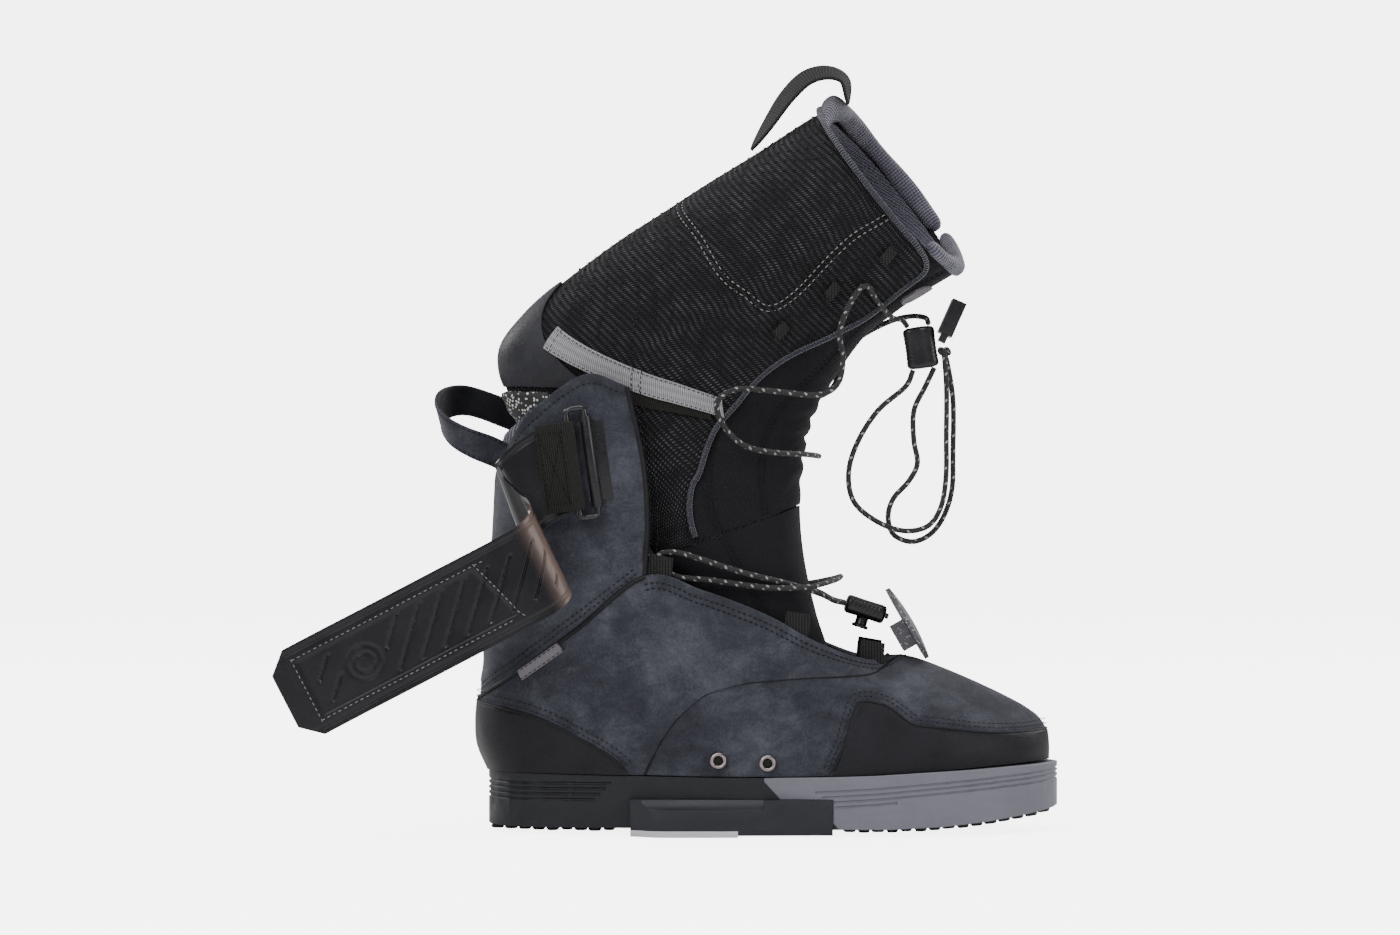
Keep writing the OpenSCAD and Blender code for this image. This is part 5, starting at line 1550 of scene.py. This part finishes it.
def bandLine(q):
    # middle of the grey band round the heel
    return mix(9.5, 7.9, (q - 4.4) / 6.5)


def bandAt(q, kk, heights, side):
    # grids at the given heights over the liner, facing out on either side
    return [linerAt(q * side, kk, d)[::side] for d in heights]


def creases(points, seed, size, depth):
    # slow uneven swelling, as foam under cloth has
    phase = random.Random(seed)
    total = np.zeros(points.shape[:-1])
    for k in range(7):
        way = unit(np.array([phase.uniform(-1, 1) for _ in range(3)]))
        turns = 2 * math.pi / (size * phase.uniform(0.7, 1.5))
        total += np.sin(points @ way * turns + phase.uniform(0, 6.28))
    return total / 7 * depth


def buildLinerBody():
    f = np.linspace(-1, 1, 210)[:, None]
    kk = np.linspace(5.02, 16, 170)[None, :]
    edge = eyestayEdge(kk)
    q = f * edge
    over = smooth((np.abs(q) - tongueFrom(kk) + 0.5) / 0.9)
    rest = linerAt(q, kk, 0.0)
    seams = [linerLine(linerCfg["yoke"], 0, side=s) for s in (-1, 1)]
    lift = creases(rest, 3, 0.05, 0.0007) - 0.0009 * nearness(rest, seams, 0.0035)
    rim = np.minimum((edge - np.abs(q)) * 0.009, (16 - kk) * 0.025)
    lift = lift - 0.0009 * np.exp(-(rim / 0.0035) ** 2)
    outer = linerAt(q, kk, lift + 0.0017 * over)
    inner = linerAt(q, kk, mix(-linerCfg["wall"], 0.0002, over))
    body = shellFromGrids("linerBody", outer, inner, edge=0.0005)
    place(body, "liner", "liner_mesh", linerMesh, "liner_body")
    rows = []
    for side in (-1, 1):
        line = np.array(linerCfg["yoke"]) * [side, 1]
        rows += [shifted(linerSurface, line, by, 0.0002, 260) for by in (-0.0016, 0.0016)]
    sew("linerYokeStitches", rows, "liner", paleThread, pitch=0.0034, stitch=0.0023, thread=0.0007)
    trim = []
    for side in (-1, 1):
        low = [(eyestayEdge(k), k) for k in np.linspace(5.1, 15.9, 60)]
        top = [(v, 16.0) for v in np.linspace(12.2, 0.0, 26)]
        line = linerLine(low + top, 0.0, 420, side)
        height = 0.0012 * smooth((np.arange(420) / 420 - 0.25) / 0.12) + 0.0003
        marks = np.array(low + top)
        spread = np.linspace(0, len(marks) - 1, 420)
        q, kk = (np.interp(spread, np.arange(len(marks)), marks[:, k]) for k in (0, 1))
        out = normalsOf(linerSurface, q * side, kk)
        trim.append(line + out * height[:, None])
    whole = np.vstack([trim[0], trim[1][::-1][1:]])
    place(sweep("linerEdgeTrim", resample(whole, count=900), 0.00155, sides=12), "liner", "fleece", ribTrim)


# near-black discs in rows over the liner: painted shade of the perforation holes
def buildPerforationShade():
    cfg = {"row": 0.0047, "pitch": 0.0094, "radius": 0.00085, "height": 0.0003, "span": (9.0, 15.75, 300)}
    levels = np.linspace(*cfg["span"])
    column = linerAt(np.full(len(levels), 6.0), levels, 0)
    run = runOf(column)
    points, facing = [], []
    for i, s in enumerate(np.arange(0.002, run[-1], cfg["row"])):
        k = float(np.interp(s, run, levels))
        edge = float(eyestayEdge(k)) - 0.9
        q = np.linspace(-edge, edge, 300)
        line = linerAt(q, k, cfg["height"])
        around = runOf(line)
        for at in np.arange((i % 2) * cfg["pitch"] / 2 + 0.003, around[-1], cfg["pitch"]):
            qq = float(np.interp(at, around, q))
            if abs(k - bandLine(abs(qq))) < 0.55 or (k < 11.2 and abs(qq) < mix(6.9, 1.3, (k - 8.3) / 2.6)):
                continue
            points.append(tuple(linerAt(qq, k, 0.00025)))
            facing.append(tuple(normalsOf(linerSurface, np.array([qq]), np.array([k]))[0]))
    holeShadeDiscs = onPoints("linerPerforationShade", studs, points, facing, holeShade, radius=cfg["radius"],
                     height=cfg["height"], sides=8)
    place(holeShadeDiscs, "liner", "liner_mesh", holeShade)


def buildTongue():
    kk = np.linspace(5.02, 16.2, 180)[None, :]
    start = np.minimum(tongueFrom(kk) + 0.12, eyestayEdge(kk) - 0.25)
    f = np.linspace(0, 1, 150)[:, None]
    q = start + (wholeRing - 2 * start) * f
    rest = linerAt(q, kk, 0.0)
    seams = [linerLine(linerCfg[word], 0, side=s) for s in (-1, 1) for word in ("tongueSeam", "frontSeam")]
    away = np.minimum(q, wholeRing - q)
    low = smooth((9.5 - kk) / 2.0) * smooth((tongueFrom(kk) + 0.6 - away) / 0.8)
    ripple = np.sin(kk * 9 + 1.4 * np.sin(q * 0.9))
    fold = 0.0011 * np.exp(-((kk - 6.8) / 1.6) ** 2) * ripple * smooth((away - 12) / 2.5)
    lift = creases(rest, 5, 0.045, 0.0009) - 0.0008 * nearness(rest, seams, 0.003) + fold
    outer = linerAt(q, kk, np.minimum(lift, 0.0009) - 0.0006 - 0.0006 * low)
    inner = linerAt(q, kk, -linerCfg["wall"] - 0.0001)
    tongue = shellFromGrids("linerTongue", outer, inner, edge=0.0006)
    place(tongue, "liner", "liner_knit", linerKnit, "liner_tongue")
    rows = []
    for side in (-1, 1):
        for word in ("tongueSeam", "frontSeam"):
            line = np.array(linerCfg[word]) * [side, 1]
            rows += [shifted(linerSurface, line, by, -0.0006, 220) for by in (-0.0014, 0.0014)]
    sew("tongueStitches", rows, "liner", blackThread, pitch=0.003, stitch=0.002, thread=0.0006)


def buildForefoot():
    q = np.linspace(0, wholeRing, 145)[:, None]
    kk = np.linspace(0, 4.98, 90)[None, :]
    outer = linerAt(q, np.maximum(kk, 0.02), 0.0)
    middle = outer[:, :1].mean(axis=0, keepdims=True)
    shrink = lambda grid, keep: middle + (grid[:, :1] - middle) * keep
    rounds = (1e-4, 0.35, 0.65, 0.88)
    caps = [shrink(outer, s) + np.array([leanCos, 0, -leanSin]) * 0.002 * (1 - s * s) for s in rounds]
    seams = [linerLine([(9.45, 3.47), (9.15, 4.52), (9.03, 5.2)], 0, side=s) for s in (-1, 1)]
    lift = creases(outer, 9, 0.05, 0.0008) - 0.0008 - 0.0008 * nearness(outer, seams, 0.003)
    outer = np.concatenate(caps + [linerAt(q, np.maximum(kk, 0.02), lift)], axis=1)
    inner = linerAt(q, np.maximum(kk, 0.55), -linerCfg["wall"])
    centre = inner[:, :1].mean(axis=0, keepdims=True)
    inner = np.concatenate([centre + (inner[:, :1] - centre) * s for s in rounds] + [inner], axis=1)
    nu, nv = outer.shape[:2]
    o = nu * nv
    i = np.arange(nu - 1) * nv + nv - 1
    faces = np.concatenate([gridFaces(nu, nv), gridFaces(nu, nv, o, True),
                            np.stack([i, i + nv, o + i + nv, o + i], -1)])
    uv = lengthUv(outer).reshape(-1, 2)
    points = np.concatenate([outer.reshape(-1, 3), inner.reshape(-1, 3)])
    forefoot = addMesh("linerForefoot", points, faces, np.concatenate([uv, uv]), merge=2e-5)
    place(forefoot, "liner", "liner_knit", linerKnit, "liner_forefoot")


def buildLinerInside():
    q = np.linspace(0, wholeRing, 145)[:, None]
    kk = np.linspace(4.4, 15.95, 90)[None, :]
    sheets = [linerAt(q, kk, -linerCfg["wall"] - depth) for depth in (0.0001, 0.0009)]
    lining = shellFromGrids("linerLining", *sheets, wrap=True)
    place(lining, "liner", "fleece", fleece)
    rims = ((-12.35, 12.35, "linerCollar", "liner_collar", 0.0, 0.0105),
            (12.9, 23.1, "tongueCollar", None, 0.0015, 0.0095))
    for q0, q1, name, node, low, high in rims:
        q = np.linspace(q0, q1, 200)
        turn = np.linspace(0, 2 * math.pi, 37)
        base = linerLocal(q, np.full(200, 15.97))
        top = toWorld(base)
        out = normalsOf(linerSurface, q, np.full(200, 15.9))
        up = unit(toWorld(base + [0, 0, 0.01]) - top)
        ends = np.clip(np.minimum(q - q0, q1 - q) / 0.7, 0, 1)
        # the collar's near side is folded down inside
        far = 0.5 + 0.5 * np.tanh((q + 1.2) * 1.1) if node else np.ones(200)
        close = np.sqrt(np.clip(1 - (1 - ends) ** 2, 0, 1)) * 0.97 + 0.03
        puff = 1 + 0.10 * np.sin(q * 1.7 + 0.5) + 0.06 * np.sin(q * 4.1)
        back = np.exp(-((q - 1.5) / 2.6) ** 2) if node else 0
        reach = (0.0036 + 0.0008 * far + 0.0022 * back) * puff * close
        tall = (high - low) / 2 * (0.93 + 0.09 * np.sin(q * 1.3 + 2)) * close
        tall = tall * (0.78 + 0.25 * far + 0.18 * back)
        height = (high + low) / 2 - 0.0085 * (1 - far) + 0.002 * back
        centre = top - out * (0.0052 - 0.0024 * far)[:, None] + up * height[:, None]
        e = 0.8
        c, s = squarish(np.cos(turn), e), squarish(np.sin(turn), e)
        wide, thick = (reach[:, None] * c)[..., None], (tall[:, None] * s)[..., None]
        grid = centre[:, None] + out[:, None] * wide + up[:, None] * thick
        roll = addMesh(name, grid.reshape(-1, 3), tubeFaces(*grid.shape[:2]), lengthUv(grid).reshape(-1, 2),
                       merge=1e-6)
        place(roll, "liner", "fleece", fleece, *([node] if node else []))


def buildLinerTrims():
    kk = np.linspace(8.3, 10.9, 60)[None, :]
    f = np.linspace(-1, 1, 120)[:, None]
    q = f * mix(6.6, 1, (kk - 8.3) / 2.6)
    swell = 0.0004 * (1 - np.abs(f) ** 6) * smooth((10.9 - kk) / 0.25) * smooth((kk - 8.3) / 0.2)
    heelPanel = shellFromGrids("linerHeelPanel", linerAt(q, kk, 0.0013 + swell), linerAt(q, kk, 0.0004),
                               edge=0.0004)
    place(heelPanel, "liner", "rand", heelLeather, "liner_heel_panel")
    side = [(6.6, 8.32), (5.2, 8.95), (3.8, 9.6), (2.4, 10.25), (1.2, 10.8)]
    lines = [linerLine(side, 0.0017, 90, s) for s in (-1, 1)]
    lines = [line + unit(lines[1 - i] - line) * 0.0018 for i, line in enumerate(lines)]
    sew("heelPanelStitches", lines, "liner", blackThread, pitch=0.0028, stitch=0.0019, thread=0.0005)
    q = np.linspace(-4.6, 4.6, 60)[:, None]
    kk = np.linspace(1.2, 8.2, 170)[None, :]
    edge = np.minimum((4.6 - np.abs(q)) / 0.5, np.minimum(kk - 1.2, 8.2 - kk) / 0.25)
    roundOff = 0.0011 * np.sqrt(np.clip(1 - (1 - np.clip(edge, 0, 1)) ** 2, 0, 1))
    studsUnder = 0.0005 * (np.sin(kk * 21) > 0) * smooth((3.6 - np.abs(q)) / 0.2)
    outsole = shellFromGrids("linerOutsole", linerAt(q, kk, 0.0031 + roundOff + studsUnder),
                             linerAt(q, kk, 0.0005))
    place(outsole, "liner", "liner_sole", linerSoleRubber, "liner_outsole")
    bandQ = np.linspace(4.4, 10.9, 90)[:, None]
    across = np.linspace(-1, 1, 12)[None, :]
    tailQ = np.linspace(6.3, 10.4, 60)[:, None]
    tailMid = mix(8.45, 7.72, (tailQ - 6.3) / 4.1)
    sewnAt, box = 0.0031, []
    for s, name in ((-1, "linerBandNear"), (1, "linerBandFar")):
        band = shellFromGrids(name, *bandAt(bandQ, bandLine(bandQ) + across * 0.3, (0.0030, 0.0017), s),
                              edge=0.0003)
        place(band, "liner", "grey_webbing", greyWebbing, *(["liner_band"] if s < 0 else []))
        tail = shellFromGrids(name + "Tail", *bandAt(tailQ, tailMid + across * 0.19, (0.0017, 0.0006), s),
                              edge=0.0003)
        place(tail, "liner", "webbing", hookCloth)
        for at in (4.75, 8.05, 8.35, 10.6):
            m = bandLine(at)
            box.append(linerAt(np.full(20, at * s), np.linspace(m - 0.27, m + 0.27, 20), sewnAt))
        run = np.linspace(4.6, 10.7, 80)
        box += [linerAt(run * s, bandLine(run) + shift, sewnAt) for shift in (-0.24, 0.24)]
    sew("bandStitches", box, "liner", blackThread, pitch=0.0026, stitch=0.0018, thread=0.0005)
    loop = np.array([(-15.5, 190), (-21, 206), (-26.5, 223), (-28, 238), (-23, 249), (-14, 253.5),
                     (-3, 247)]) * mm
    t = np.linspace(0, 6, 90)
    centre = toWorld(onCurve(np.column_stack([loop[:, 0], np.zeros(7), loop[:, 1]]), t))
    tangent = unit(np.gradient(centre, axis=0))
    twist = np.radians(26) * np.sin(np.linspace(0, math.pi, 90)) ** 0.6
    across = np.array([0.0, 1.0, 0.0])
    sideways = np.cos(twist)[:, None] * across + np.sin(twist)[:, None] * np.cross(tangent, across)
    pull = sweep("linerPullLoop", centre, 1.0, section=ribbonSection(0.020, 0.0019, 0.35),
                 frame3=(tangent, sideways, np.cross(tangent, sideways)))
    place(pull, "liner", "webbing", webbing, "liner_pull_loop")
    patchQ = np.linspace(15.75, 17.3, 40)[:, None]
    v = np.linspace(-1, 1, 30)[None, :]
    lens = np.sqrt(np.clip(1 - ((patchQ - 16.5) / 0.8) ** 2, 0.02, 1))
    k = 13.7 + v * lens * 0.75 + (patchQ - 16.5) * 0.35
    tonguePatch = shellFromGrids("tonguePatch", *bandAt(patchQ, k, (0.0009, -0.0006), -1), edge=0.0002)
    place(tonguePatch, "liner", "label", labelCloth)


buildLinerBody()
buildPerforationShade()
buildTongue()
buildForefoot()
buildLinerInside()
buildLinerTrims()
print("liner ready")


# the shell's sewing and piping
def buildSewing():
    sew("shellStitching", shellStitches, "shell", blackThread, pitch=0.0031, stitch=0.0022, thread=0.00062)
    for i, (line, radius) in enumerate(shellPiping):
        cord = alongLines("shellPiping" + str(i), piping, [line], pipingBlack, radius=radius)
        place(cord, "shell", "rand", pipingBlack)


buildSewing()
print("sewing ready")
